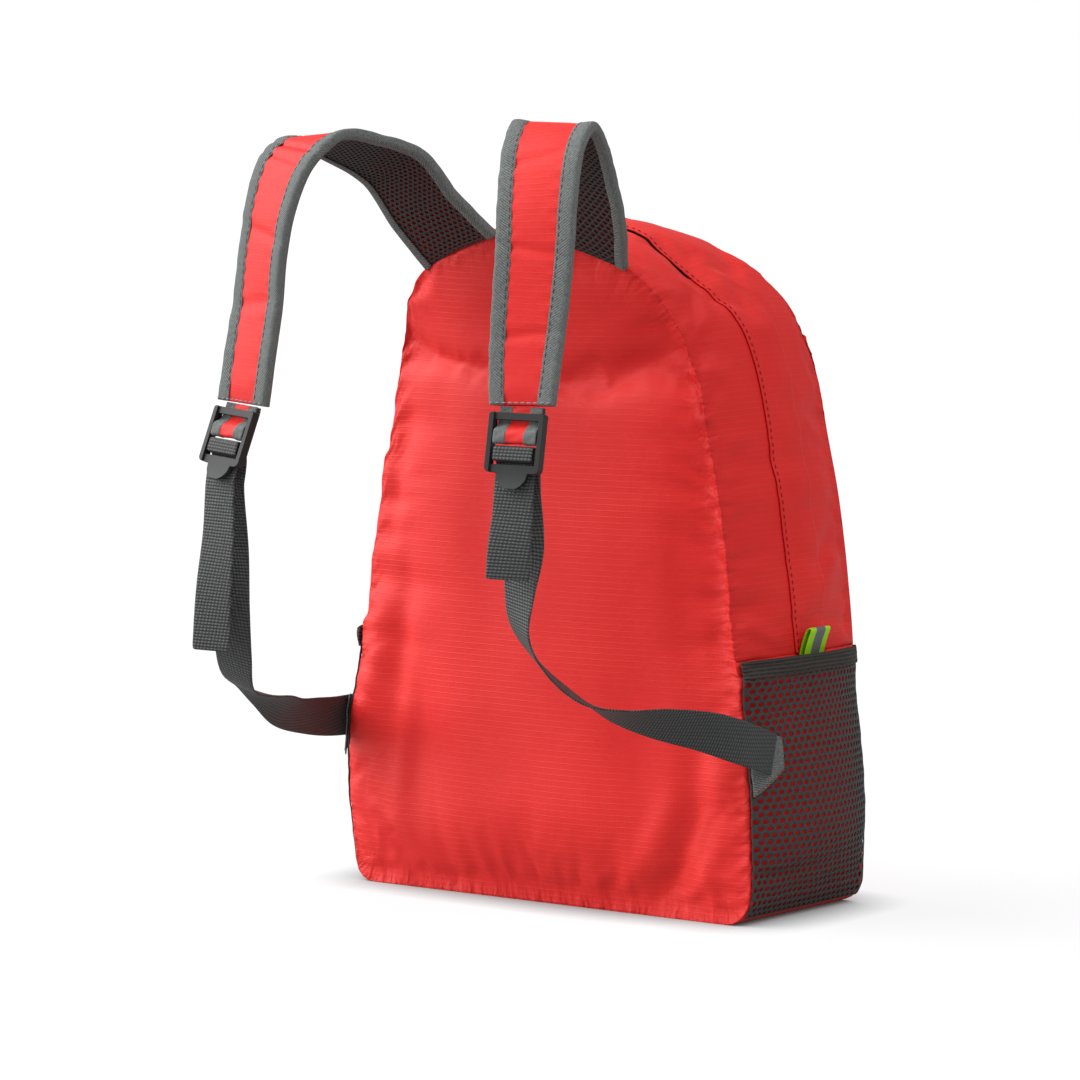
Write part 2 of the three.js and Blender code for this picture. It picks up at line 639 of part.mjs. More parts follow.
function buildFrontPocket() {
  const zipInset = (z) => frontZipWidth * smoothStep((z - frontZipLegEnd) / frontZipTaper);
  const bodyInset = (z) => zipInset(z) + layGap;
  const outerLine = pocketArch(() => 0, 6);
  const innerLine = pocketArch(zipInset, 6);
  const top = pocketArch(bodyInset, 6);
  const sideAt = (z) => halfWidthAt(z) - frontPocketInset;
  const foot = cornerRadius * 0.4;
  const rows = 6;
  const right = spaced(foot, frontZipLegEnd - layGap, rows).map((z) => ({ x: sideAt(z), z }));
  right[rows] = top[top.length - 1];
  const left = right.map(({ x, z }) => ({ x: -x, z }));
  const bottom = spaced(-1, 1, top.length - 1).map((t) => ({ x: t * right[0].x, z: foot }));
  const layout = coons(bottom, top, left, right);
  const lastRow = layout.length - 1;
  const lastColumn = layout[0].length - 1;

  const lift = (p, r, c) => {
    const u = 1 - Math.pow(Math.abs((2 * c) / lastColumn - 1), 3);
    const v = Math.sin(Math.PI * Math.pow(r / lastRow, 0.8));
    const edge = frontZipLift * smoothStep((p.z - frontZipLegEnd) / frontZipTaper) * (r / lastRow);
    return layGap + frontPocketPuff * u * v + edge;
  };
  const face = (off) => layout.map((row, r) => row.map((p, c) => {
    return new THREE.Vector3(p.x, frontFace(p.x, p.z) + lift(p, r, c) + off, p.z);
  }));
  addPiece("front_pocket", slab(face(clothWall), face(0)), materials.redCloth);

  const zipLayer = (off) => [outerLine, innerLine].map((line, k) => line.map((p, i) => {
    const reference = innerLine[i];
    const raised = k * frontZipLift * smoothStep((reference.z - frontZipLegEnd) / frontZipTaper);
    return new THREE.Vector3(p.x, frontFace(p.x, p.z) + layGap + raised + off, p.z);
  }));
  const trim = (grid) => grid.map((row) => row.slice(1, -1));
  addPiece("front_pocket_zip", slab(trim(zipLayer(clothWall)), trim(zipLayer(0))), materials.zip);
}

// Slider of the front pocket's zip with its pull hanging over the pocket.
function buildFrontSlider() {
  const z = frontPocketHeight - frontZipWidth / 2;
  const slope = Math.atan2(frontZipLift, frontZipWidth);
  const y = frontFace(sliderX, z) + layGap + frontZipLift / 2 + clothWall;
  const body = new THREE.BoxGeometry(sliderLength, sliderWidth, sliderHeight);
  body.translate(0, 0, layGap * 1.5 + sliderHeight / 2);
  const pull = new THREE.BoxGeometry(pullWidth, pullLength, pullWall);
  pull.translate(0, -pullLength / 2 + sliderWidth / 4, layGap * 1.5 + sliderHeight);
  const geometry = geometryFrom(solidOf(body).add(solidOf(pull)));
  geometry.rotateX(Math.PI / 2 - slope);
  geometry.rotateZ(Math.PI);
  geometry.translate(sliderX, y, z);
  addPiece("front_zip_slider", geometry, materials.plastic);
}

// Frames along a strap: place, direction, width direction and outward normal at each station.
function strapFrames(sideName) {
  const side = sideName === "right" ? 1 : -1;
  const rows = strapTables[sideName];
  const steps = (rows.length - 1) * stepsPerRow;
  const seam = (x) => {
    let low = runShoulder * 0.8;
    let high = halfLength;
    for (let i = 0; i < 30; i += 1) {
      const middle = (low + high) / 2;
      if (outlineAt(1, middle).x > x) low = middle;
      else high = middle;
    }
    const p = outlineAt(1, low);
    return new THREE.Vector3(side * x, -halfDepth + leanAt(p.z), p.z);
  };
  const root = seam(strapRootX);
  const stations = spaced(0, 1, steps).map((t) => {
    const row = tableAt(rows, t);
    const out = side * row.spread * strapSpread;
    const reach = new THREE.Vector3(out, -row.reach * strapReach, row.rise * strapRise);
    return { place: root.clone().add(reach), row };
  });
  return stations.map(({ place, row }, i) => {
    const before = stations[Math.max(i - 1, 0)].place;
    const after = stations[Math.min(i + 1, steps)].place;
    const along = after.clone().sub(before).normalize();
    const tilt = radians(row.tilt) * side;
    const yaw = radians(row.yaw) * side;
    const flat = Math.cos(tilt);
    const across = new THREE.Vector3(flat * Math.cos(yaw), flat * Math.sin(yaw), Math.sin(tilt));
    if (i === 0) {
      const reach = strapWidth / 2 - 2;
      const ends = [seam(strapRootX - reach), seam(strapRootX + reach)];
      across.copy(ends[1]).sub(ends[0]).normalize().multiplyScalar(side);
    }
    across.addScaledVector(along, -across.dot(along)).normalize();
    const normal = along.clone().cross(across);
    const width = row.width * strapWidth;
    // The root lies along the curved seam, and the strap flattens out over the next stations.
    const seated = Math.max(1 - i / (2 * stepsPerRow), 0);
    const at = (a, b) => {
      const straight = place.clone().addScaledVector(across, a);
      if (seated > 0) {
        const onSeam = seam(Math.max(strapRootX + side * a, 0)).sub(root).addScaledVector(along, layGap * 1.3);
        const bowed = place.clone().add(onSeam);
        straight.lerp(bowed, seated);
      }
      return straight.addScaledVector(normal, b);
    };
    return { place, along, across, normal, width, at };
  });
}

const strapDepth = 2 * bindingWall + 3 * plyGap + coverWall + padWall;

function buildStrap(sideName, frames) {
  const columns = 4;
  const edge = bindingWall + plyGap;
  const layer = (b) => frames.map((frame) => {
    return spaced(-1, 1, columns).map((t) => frame.at(t * (frame.width / 2 - edge), b));
  });
  const coverTop = strapDepth / 2 - bindingWall - plyGap;
  const padFoot = -strapDepth / 2 + bindingWall + plyGap;
  const cover = slab(layer(coverTop), layer(coverTop - coverWall));
  addPiece(`strap_cover_${sideName}`, cover, materials.redCloth);
  const pad = slab(layer(padFoot + padWall), layer(padFoot));
  addPiece(`strap_mesh_${sideName}`, pad, materials.net);

  const outward = sideName === "right" ? 1 : -1;
  for (const [place, sign] of [["inner", -outward], ["outer", outward]]) {
    const high = strapDepth / 2;
    const low = -strapDepth / 2;
    const profile = [
      [0, high],
      [bindingWidth, high],
      [bindingWidth, high - bindingWall],
      [bindingWall, high - bindingWall],
      [bindingWall, low + bindingWall],
      [bindingUnder, low + bindingWall],
      [bindingUnder, low],
      [0, low],
    ];
    const section = profile.map(([inward, b]) => new THREE.Vector2(-sign * inward, b));
    const rings = frames.map((frame) => profile.map(([inward, b]) => {
      return frame.at(sign * (frame.width / 2 - inward), b);
    }));
    addPiece(`strap_binding_${place}_${sideName}`, sweep(rings, section), materials.binding);
  }
}

// Frame of a buckle at the end of its strap: down runs along it, normal points away from the bag.
function buckleFrame(sideName, frames) {
  const side = sideName === "right" ? 1 : -1;
  const hang = buckleHang[sideName];
  const end = frames[frames.length - 1];
  const down = new THREE.Vector3(
    side * Math.tan(radians(hang.outward)),
    -Math.tan(radians(hang.forward)),
    -1,
  ).normalize();
  const yaw = radians(hang.yaw) * side;
  const across = new THREE.Vector3(Math.cos(yaw), Math.sin(yaw), 0);
  across.addScaledVector(down, -across.dot(down)).normalize();
  const normal = down.clone().cross(across);
  const origin = end.place.clone();
  origin.addScaledVector(down, buckleGapBelowStrap).addScaledVector(normal, buckleOffset);
  const at = (a, t, n) => {
    const p = origin.clone().addScaledVector(across, a);
    return p.addScaledVector(down, t).addScaledVector(normal, n);
  };
  return { origin, down, across, normal, at };
}

function solidOf(geometry) {
  const bare = geometry.clone();
  bare.deleteAttribute("normal");
  bare.deleteAttribute("uv");
  const merged = mergeVertices(bare, 1e-4);
  const mesh = new wasm.Mesh({
    numProp: 3,
    vertProperties: new Float32Array(merged.attributes.position.array),
    triVerts: new Uint32Array(merged.index.array),
  });
  return new wasm.Manifold(mesh);
}

function geometryFrom(solid) {
  const mesh = solid.getMesh();
  const geometry = new THREE.BufferGeometry();
  geometry.setAttribute("position", new THREE.Float32BufferAttribute(mesh.vertProperties, 3));
  geometry.setIndex(Array.from(mesh.triVerts));
  geometry.computeVertexNormals();
  return geometry;
}

function buildBuckle(sideName, frame) {
  const half = buckleWidth / 2;
  const foot = plateTop + plateHeight;
  const round = 3;
  const plate = new THREE.Shape();
  plate.moveTo(-half + round, 0);
  plate.lineTo(half - round, 0);
  plate.quadraticCurveTo(half, 0, half, -round);
  plate.lineTo(half, -foot + round);
  plate.quadraticCurveTo(half, -foot, half - round, -foot);
  plate.lineTo(thumbTabWidth / 2, -foot);
  plate.quadraticCurveTo(thumbTabWidth / 2, -foot - thumbTab, 0, -foot - thumbTab);
  plate.quadraticCurveTo(-thumbTabWidth / 2, -foot - thumbTab, -thumbTabWidth / 2, -foot);
  plate.lineTo(-half + round, -foot);
  plate.quadraticCurveTo(-half, -foot, -half, -foot + round);
  plate.lineTo(-half, -round);
  plate.quadraticCurveTo(-half, 0, -half + round, 0);
  const slots = [
    [frameBar, midBarTop],
    [midBarTop + midBar, lockBarTop],
    [lockBarTop + lockBar, plateTop],
  ];
  for (const [from, to] of slots) {
    const slot = new THREE.Path();
    slot.moveTo(-half + railWidth, -from);
    slot.lineTo(-half + railWidth, -to);
    slot.lineTo(half - railWidth, -to);
    slot.lineTo(half - railWidth, -from);
    slot.closePath();
    plate.holes.push(slot);
  }
  const sheet = new THREE.ExtrudeGeometry(plate, { depth: barDepth, bevelEnabled: false, curveSegments: 6 });
  sheet.translate(0, 0, -barDepth / 2);
  let solid = solidOf(sheet);
  for (const sign of [-1, 1]) {
    const rail = new THREE.BoxGeometry(railWidth, foot - 2 * round, railDepth);
    rail.translate(sign * (half - railWidth / 2), -foot / 2, 0);
    solid = solid.add(solidOf(rail));
  }
  const geometry = geometryFrom(solid);
  const basis = new THREE.Matrix4().makeBasis(frame.across, frame.down.clone().negate(), frame.normal);
  basis.setPosition(frame.origin);
  geometry.applyMatrix4(basis);
  addPiece(`buckle_${sideName}`, geometry, materials.plastic);
}

// Band of constant thickness along a path in a buckle's frame, both measured from the frame.
function bandInFrame(frame, path, width, wall) {
  const knots = path.map(([t, n]) => new THREE.Vector3(t, n, 0));
  const curve = new THREE.CatmullRomCurve3(knots, false, "centripetal");
  const steps = (path.length - 1) * 2;
  const samples = spaced(0, 1, steps).map((t) => ({ p: curve.getPoint(t), d: curve.getTangent(t) }));
  const section = [[-1, -1], [1, -1], [1, 1], [-1, 1]].map(([a, b]) => new THREE.Vector2(a, b));
  const rings = samples.map(({ p, d }) => section.map((corner) => {
    const t = p.x - d.y * corner.y * (wall / 2);
    const n = p.y + d.x * corner.y * (wall / 2);
    return frame.at(corner.x * (width / 2), t, n);
  }));
  return sweep(rings, section);
}

// Path round the lower edge of a bar, from its front to its back, clear of both corners.
function aroundFoot(edge, half, clear) {
  const turn = clear * 0.74;
  return [
    [edge - 0.2, half + clear],
    [edge + turn, half + turn],
    [edge + clear, half * 0.6],
    [edge + clear, -half * 0.6],
    [edge + turn, -half - turn],
    [edge - 0.2, -half - clear],
  ];
}

// The strap's own end, drawn in, passes behind the upper bar, round the middle bar and back up.
function buildEndLoop(sideName, frame) {
  const half = barDepth / 2;
  const clear = layGap + endLoopWall / 2;
  const start = -buckleGapBelowStrap + layGap * 2;
  const behind = -(half + clear + 0.6);
  const front = half + clear;
  const foot = midBarTop + midBar;
  const second = behind - endLoopWall - layGap * 2;
  const path = [
    [start, behind],
    [frameBar * 0.5, behind],
    [frameBar + 2.2, behind + 0.7],
    [midBarTop - 2, front - 0.4],
    [midBarTop, front + 0.15],
    ...aroundFoot(foot, half, clear),
    [midBarTop, -front],
    [midBarTop - 2.4, -front - 0.9],
    [frameBar + 2.2, second],
    [frameBar * 0.5, second],
    [start, second],
  ];
  const band = bandInFrame(frame, path, endLoopWidth, endLoopWall);
  addPiece(`strap_end_loop_${sideName}`, band, materials.redCloth);
}

// Where the webbing's inner end is sewn: just outside the tab on the side pocket.
function anchorAt(side) {
  const run = runAtHeight(anchorHeight);
  const y = -halfDepth + anchorInset;
  const off = netLift(run, y) + netWall + 2 * layGap + tabWall + webWall * 1.6;
  return gussetPoint(side, run, y, off);
}

// One length of webbing: side seam, load run, up behind the lock bar, over it and down as the tail.
function buildWebbing(sideName, frame) {
  const side = sideName === "right" ? 1 : -1;
  const half = barDepth / 2;
  const clear = layGap + webWall / 2;
  const front = half + clear;
  const turn = clear * 0.74;
  const foot = lockBarTop + lockBar;
  const tailBehind = -(half + clear + 0.3);
  const plateFoot = plateTop + plateHeight;
  const locked = [
    [plateFoot + 9, -11.5],
    [plateFoot, -9.2],
    [plateTop - 2, -7.2],
    [lockBarTop + 2.6, -4.8],
    [lockBarTop + 0.4, -front - 0.4],
    [lockBarTop - turn, -half - turn],
    [lockBarTop - clear, -half * 0.5],
    [lockBarTop - clear, half * 0.6],
    [lockBarTop - turn, half + turn],
    [lockBarTop + 0.2, front],
    [lockBarTop + lockBar * 0.5, front],
    [foot - 0.2, front],
    [foot + turn, half + turn],
    [foot + clear, half * 0.5],
    [foot + clear + 0.45, -half],
    [plateTop - 0.5, tailBehind + 0.1],
    [plateTop + 1, tailBehind],
    [plateTop + plateHeight * 0.6, tailBehind - 0.1],
    [plateFoot + thumbTab * 0.6, tailBehind - 0.15],
  ];
  const exit = frame.at(0, locked[0][0], locked[0][1]);
  const anchor = anchorAt(side);
  const stations = [];
  const widthDirection = (yaw, tilt) => {
    const direction = new THREE.Vector3(1, 0, 0);
    direction.applyAxisAngle(new THREE.Vector3(0, -1, 0), radians(tilt));
    return direction.applyAxisAngle(new THREE.Vector3(0, 0, 1), radians(yaw));
  };
  const upright = widthDirection(90, side > 0 ? 84 : 88);
  stations.push({ place: anchor, across: upright });
  for (const row of loadTables[sideName].slice().reverse()) {
    const place = new THREE.Vector3(
      mix(exit.x, anchor.x, row.across),
      mix(exit.y, anchor.y, row.back),
      mix(exit.z, anchor.z, row.down),
    );
    stations.push({ place, across: widthDirection(row.yaw, row.tilt) });
  }
  for (const [t, n] of locked) stations.push({ place: frame.at(0, t, n), across: frame.across.clone() });
  const tail = tailShape[sideName];
  const tailStart = stations[stations.length - 1].place;
  for (const share of [0.33, 0.66, 1]) {
    const place = tailStart.clone();
    const swing = smoothStep(share);
    place.add(new THREE.Vector3(side * tail.outward * swing, -tail.forward * swing, -tail.length * share));
    const turned = frame.across.clone().lerp(widthDirection(side * tail.yaw, 0), smoothStep(share)).normalize();
    stations.push({ place, across: turned });
  }
  const curve = new THREE.CatmullRomCurve3(stations.map((s) => s.place), false, "centripetal");
  const widths = new THREE.CatmullRomCurve3(stations.map((s) => s.across), false, "catmullrom", 0.5);
  const last = stations.length - 1;
  const section = [[-1, -1], [1, -1], [1, 1], [-1, 1]].map(([a, b]) => new THREE.Vector2(a, b));
  const places = [];
  for (let i = 0; i < last; i += 1) {
    const long = stations[i].place.distanceTo(stations[i + 1].place) > 6;
    places.push(...spaced(i, i + 1, long ? 3 : 1).slice(0, -1));
  }
  places.push(last);
  const rings = places.map((place) => {
    const t = place / last;
    const p = curve.getPoint(t);
    const along = curve.getTangent(t);
    const across = widths.getPoint(t);
    across.addScaledVector(along, -across.dot(along)).normalize();
    const normal = along.clone().cross(across);
    return section.map((corner) => p.clone()
      .addScaledVector(across, corner.x * (webWidth / 2))
      .addScaledVector(normal, corner.y * (webWall / 2)));
  });
  addPiece(`webbing_${sideName}`, sweep(rings, section), materials.webbing);
}

// Tab between the net and the webbing, its wide side in the seam.
function buildTab(sideName) {
  const side = sideName === "right" ? 1 : -1;
  const seamY = -halfDepth + seamGap + layGap;
  const middle = anchorHeight - tabDrop;
  const layer = (off) => spaced(0, 1, 3).map((t) => {
    const y = mix(seamY, seamY + tabReach, t);
    const half = mix(tabBase / 2, webWidth * 0.36, t);
    const centre = mix(middle, anchorHeight, t);
    return spaced(-1, 1, 4).map((s) => {
      const run = runAtHeight(centre + s * half);
      return gussetPoint(side, run, y, netLift(run, y) + netWall + layGap + off);
    });
  });
  addPiece(`strap_tab_${sideName}`, slab(layer(tabWall), layer(0)), materials.webbing);
}

buildBody();
buildSidePockets();
buildLoopTag();
buildFrontPocket();
buildFrontSlider();
for (const sideName of ["left", "right"]) {
  const frames = strapFrames(sideName);
  const frame = buckleFrame(sideName, frames);
  buildStrap(sideName, frames);
  buildEndLoop(sideName, frame);
  buildBuckle(sideName, frame);
  buildWebbing(sideName, frame);
  buildTab(sideName);
}

export default group;
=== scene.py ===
import math

import bmesh
import bpy
import numpy as np
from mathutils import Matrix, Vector
from mathutils.kdtree import KDTree


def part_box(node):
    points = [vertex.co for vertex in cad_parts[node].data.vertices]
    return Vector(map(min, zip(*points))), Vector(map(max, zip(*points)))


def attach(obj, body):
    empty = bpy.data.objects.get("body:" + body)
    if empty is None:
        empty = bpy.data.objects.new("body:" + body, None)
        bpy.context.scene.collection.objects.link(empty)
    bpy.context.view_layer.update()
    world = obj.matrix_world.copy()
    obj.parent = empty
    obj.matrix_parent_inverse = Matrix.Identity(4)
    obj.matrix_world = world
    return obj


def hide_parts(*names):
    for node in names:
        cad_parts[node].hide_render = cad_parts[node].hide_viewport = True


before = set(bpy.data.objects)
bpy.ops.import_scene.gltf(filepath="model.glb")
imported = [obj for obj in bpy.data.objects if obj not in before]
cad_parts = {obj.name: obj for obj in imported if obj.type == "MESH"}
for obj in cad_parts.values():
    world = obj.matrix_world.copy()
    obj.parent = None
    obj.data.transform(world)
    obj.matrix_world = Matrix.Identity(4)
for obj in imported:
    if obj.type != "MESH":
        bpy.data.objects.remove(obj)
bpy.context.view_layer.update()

# Camera, three metres off and level with the upper half of the bag, as in the photograph.
camera_data = bpy.data.cameras.new("camera")
camera_data.sensor_width = 36
camera_data.lens = 169.3
camera = bpy.data.objects.new("camera", camera_data)
bpy.context.scene.collection.objects.link(camera)
camera.location = (1.7886, -2.3933, 0.481)
camera_aim = Vector((-0.03015, -0.02313, 0.209))
camera.rotation_euler = (camera_aim - camera.location).to_track_quat("-Z", "Y").to_euler()
bpy.context.scene.camera = camera

# Pale studio floor that runs on to the horizon, under two soft lights and an even white sky.
# The main light stands behind the camera on its left, a fainter one lights the side with the pocket.
floor_mesh = bmesh.new()
bmesh.ops.create_grid(floor_mesh, x_segments=1, y_segments=1, size=30)
floor_data = bpy.data.meshes.new("floor")
floor_mesh.to_mesh(floor_data)
floor = bpy.data.objects.new("floor", floor_data)
bpy.context.scene.collection.objects.link(floor)
floor_paint = bpy.data.materials.new("floor_paint")
floor_paint.use_nodes = True
floor_shader = floor_paint.node_tree.nodes["Principled BSDF"]
floor_shader.inputs["Base Color"].default_value = (0.16, 0.16, 0.16, 1)
floor_shader.inputs["Emission Color"].default_value = (1, 1, 1, 1)
# The floor glows, brighter to the camera than to other rays, and the glow is dimmed by ambient occlusion near the bag:
# a painted contact shadow.
floor_painted_contact_shadow = floor_paint.node_tree.nodes.new("ShaderNodeAmbientOcclusion")
floor_painted_contact_shadow.inputs["Distance"].default_value = 0.035
floor_rays = floor_paint.node_tree.nodes.new("ShaderNodeLightPath")
floor_seen = floor_paint.node_tree.nodes.new("ShaderNodeMath")
floor_seen.operation = "MULTIPLY_ADD"
floor_seen.inputs[1].default_value = 0.48
floor_seen.inputs[2].default_value = 0.34
floor_glow = floor_paint.node_tree.nodes.new("ShaderNodeMath")
floor_glow.operation = "MULTIPLY"
floor_paint.node_tree.links.new(floor_rays.outputs["Is Camera Ray"], floor_seen.inputs[0])
floor_paint.node_tree.links.new(floor_seen.outputs[0], floor_glow.inputs[0])
floor_paint.node_tree.links.new(floor_painted_contact_shadow.outputs["AO"], floor_glow.inputs[1])
floor_paint.node_tree.links.new(floor_glow.outputs[0], floor_shader.inputs["Emission Strength"])
floor_shader.inputs["Roughness"].default_value = 0.9
floor_shader.inputs["Specular IOR Level"].default_value = 0.1
floor_data.materials.append(floor_paint)

sky = bpy.data.worlds.new("sky")
bpy.context.scene.world = sky
sky.use_nodes = True
sky_light = sky.node_tree.nodes["Background"]
sky_light.inputs["Color"].default_value = (1, 1, 1, 1)
sky_light.inputs["Strength"].default_value = 0.36
sky_seen = sky.node_tree.nodes.new("ShaderNodeBackground")
sky_seen.inputs["Color"].default_value = (1, 1, 1, 1)
sky_seen.inputs["Strength"].default_value = 1.0
sky_choice = sky.node_tree.nodes.new("ShaderNodeMixShader")
sky_rays = sky.node_tree.nodes.new("ShaderNodeLightPath")
sky.node_tree.links.new(sky_rays.outputs["Is Camera Ray"], sky_choice.inputs[0])
sky.node_tree.links.new(sky_light.outputs[0], sky_choice.inputs[1])
sky.node_tree.links.new(sky_seen.outputs[0], sky_choice.inputs[2])
sky.node_tree.links.new(sky_choice.outputs[0], sky.node_tree.nodes["World Output"].inputs[0])
bpy.context.scene.view_settings.view_transform = "Standard"


def soft_light(name, toward, strength, softness):
    """Light from a wide soft source far off; toward is the direction it comes from."""
    lamp = bpy.data.lights.new(name, "SUN")
    lamp.energy = strength
    lamp.angle = math.radians(softness)
    holder = bpy.data.objects.new(name, lamp)
    bpy.context.scene.collection.objects.link(holder)
    holder.rotation_euler = Vector(toward).to_track_quat("Z", "Y").to_euler()
    return holder


soft_light("main_light", (-1.0, -0.55, 0.7), 4.2, 70)
soft_light("side_light", (0.6, -0.1, 1.0), 1.2, 60)

# Thin red ripstop: plain nylon weave with a heavier thread every four millimetres both ways.
# The thicker threads stand up and catch the light, with a painted highlight: a lighter red on them, shown in random
# patches; the cloth is creased finely all over.
RIPSTOP_PITCH = 0.0034
RED = (0.82, 0.021, 0.017)
RED_SHADE = (0.60, 0.007, 0.010)
# The lighter red below is a painted highlight on the heavier threads.
RED_THREAD_HIGHLIGHT = (0.98, 0.075, 0.055)


def new_material(name, colour, roughness, specular=0.5):
    made = bpy.data.materials.new(name)
    made.use_nodes = True
    shader = made.node_tree.nodes["Principled BSDF"]
    shader.inputs["Base Color"].default_value = (*colour, 1)
    shader.inputs["Roughness"].default_value = roughness
    shader.inputs["Specular IOR Level"].default_value = specular
    return made, made.node_tree, shader


def sum_of(tree, kind, first, second):
    node = tree.nodes.new("ShaderNodeMath")
    node.operation = kind
    for socket, value in zip(node.inputs, (first, second)):
        if isinstance(value, (int, float)):
            socket.default_value = value
        elif value is not None:
            tree.links.new(value, socket)
    return node.outputs[0]


def thread_line(tree, coordinate, pitch, share):
    """One at the middle of each heavier thread along a coordinate, falling to nought beside it."""
    place = sum_of(tree, "FRACT", sum_of(tree, "DIVIDE", coordinate, pitch), None)
    off_middle = sum_of(tree, "ABSOLUTE", sum_of(tree, "SUBTRACT", place, 0.5), None)
    return sum_of(tree, "MAXIMUM", sum_of(tree, "SUBTRACT", 1, sum_of(tree, "DIVIDE", off_middle, share)), 0)


def noise_of(tree, vector, scale, detail, roughness=0.5):
    node = tree.nodes.new("ShaderNodeTexNoise")
    node.inputs["Scale"].default_value = scale
    node.inputs["Detail"].default_value = detail
    node.inputs["Roughness"].default_value = roughness
    tree.links.new(vector, node.inputs["Vector"])
    return node.outputs["Fac"]


def blend_colours(tree, share, low, high):
    """Mixes two colours, each a constant or another node's colour, by a share from 0 to 1."""
    node = tree.nodes.new("ShaderNodeMix")
    node.data_type = "RGBA"
    tree.links.new(share, node.inputs[0])
    for socket, colour in ((node.inputs[6], low), (node.inputs[7], high)):
        if isinstance(colour, tuple):
            socket.default_value = (*colour, 1)
        else:
            tree.links.new(colour, socket)
    return node.outputs[2]


def add_bump(tree, shader, height, distance, strength=1.0, under=None):
    node = tree.nodes.new("ShaderNodeBump")
    node.inputs["Distance"].default_value = distance
    node.inputs["Strength"].default_value = strength
    tree.links.new(height, node.inputs["Height"])
    if under is not None:
        tree.links.new(under, node.inputs["Normal"])
    if shader is not None:
        tree.links.new(node.outputs["Normal"], shader.inputs["Normal"])
    return node.outputs["Normal"]


def seam_gathers(tree):
    """Short puckers that run off the seams, by each point's place along its seam and nearness to it."""
    along, near = (tree.nodes.new("ShaderNodeAttribute") for _ in range(2))
    along.attribute_name, near.attribute_name = "seam_run", "seam_near"
    spread = tree.nodes.new("ShaderNodeCombineXYZ")
    tree.links.new(along.outputs["Fac"], spread.inputs[0])
    tree.links.new(sum_of(tree, "MULTIPLY", near.outputs["Fac"], 0.004), spread.inputs[1])
    folds = noise_of(tree, spread.outputs[0], 130, 2)
    return sum_of(tree, "MULTIPLY", folds, sum_of(tree, "POWER", near.outputs["Fac"], 1.5))


def red_ripstop(name, gathered=False):
    made, tree, shader = new_material(name, RED, 0.55, 0.3)
    shader.inputs["Sheen Weight"].default_value = 0.06
    shader.inputs["Sheen Roughness"].default_value = 0.4
    shader.inputs["Sheen Tint"].default_value = (1, 0.45, 0.4, 1)
    flat_map = tree.nodes.new("ShaderNodeUVMap")
    flat_map.uv_map = "cloth"
    parts = tree.nodes.new("ShaderNodeSeparateXYZ")
    tree.links.new(flat_map.outputs["UV"], parts.inputs[0])
    places = tree.nodes.new("ShaderNodeTexCoord").outputs["Object"]
    upright = thread_line(tree, parts.outputs[0], RIPSTOP_PITCH / 2, 0.12)
    level = thread_line(tree, parts.outputs[1], RIPSTOP_PITCH, 0.10)
    grid = sum_of(tree, "MAXIMUM", sum_of(tree, "MULTIPLY", upright, 0.35), level)
    patches = noise_of(tree, places, 14, 3)
    # Random patches in which the painted highlight on the heavier threads shows.
    thread_highlight_patches = sum_of(tree, "MAXIMUM", sum_of(tree, "SUBTRACT", sum_of(tree, "MULTIPLY", patches, 2.2), 0.65), 0.1)
    shown = sum_of(tree, "MINIMUM", sum_of(tree, "MULTIPLY", grid, thread_highlight_patches), 1)
    ground = blend_colours(tree, sum_of(tree, "ADD", patches, 0.3), RED_SHADE, RED)
    faint = sum_of(tree, "MULTIPLY", shown, 0.45)
    tree.links.new(blend_colours(tree, faint, ground, RED_THREAD_HIGHLIGHT), shader.inputs["Base Color"])
    creases = noise_of(tree, places, 55, 4, 0.6)
    crumple = add_bump(tree, None, creases, 0.0016, 0.35)
    if gathered:
        crumple = add_bump(tree, None, seam_gathers(tree), 0.006, 0.9, crumple)
    add_bump(tree, shader, shown, 0.00022, 0.9, crumple)
    return made


ripstop = red_ripstop("red_ripstop")
gathered_ripstop = red_ripstop("gathered_ripstop", True)

# Body of the bag: a back and a front panel, and a gusset loop of base, sides and arch sewn between them.
# All are one sewn shell here, filled with air against its seams so that the cloth puckers from them,
# and then cut apart along the seams into the panels, each one given a thin wall.
BAG_WIDTH = 0.291
BAG_DEPTH = 0.116
BAG_HEIGHT = 0.3925
CORNER_RADIUS = 0.016
TOP_LEAN = 0.026
BACK_DOME = 0.010
FRONT_DOME = 0.012
SIDE_BULGE = 0.004
HEM_HEIGHT = 0.151
REAR_GUSSET = 0.048
ZIP_WIDTH = 0.020
CLOTH = 0.0011

arch_up = [0.153, 0.247, 0.306, 0.369, 0.448, 0.522, 0.611, 0.701, 0.785, 0.864, 0.912, 0.945, 0.968, 0.986, 1.0]
arch_out = [1.0, 0.98, 0.957, 0.94, 0.914, 0.89, 0.852, 0.797, 0.748, 0.672, 0.594, 0.503, 0.37, 0.215, 0.0]


def smooth_step(t):
    s = np.clip(t, 0, 1)
    return s * s * (3 - 2 * s)


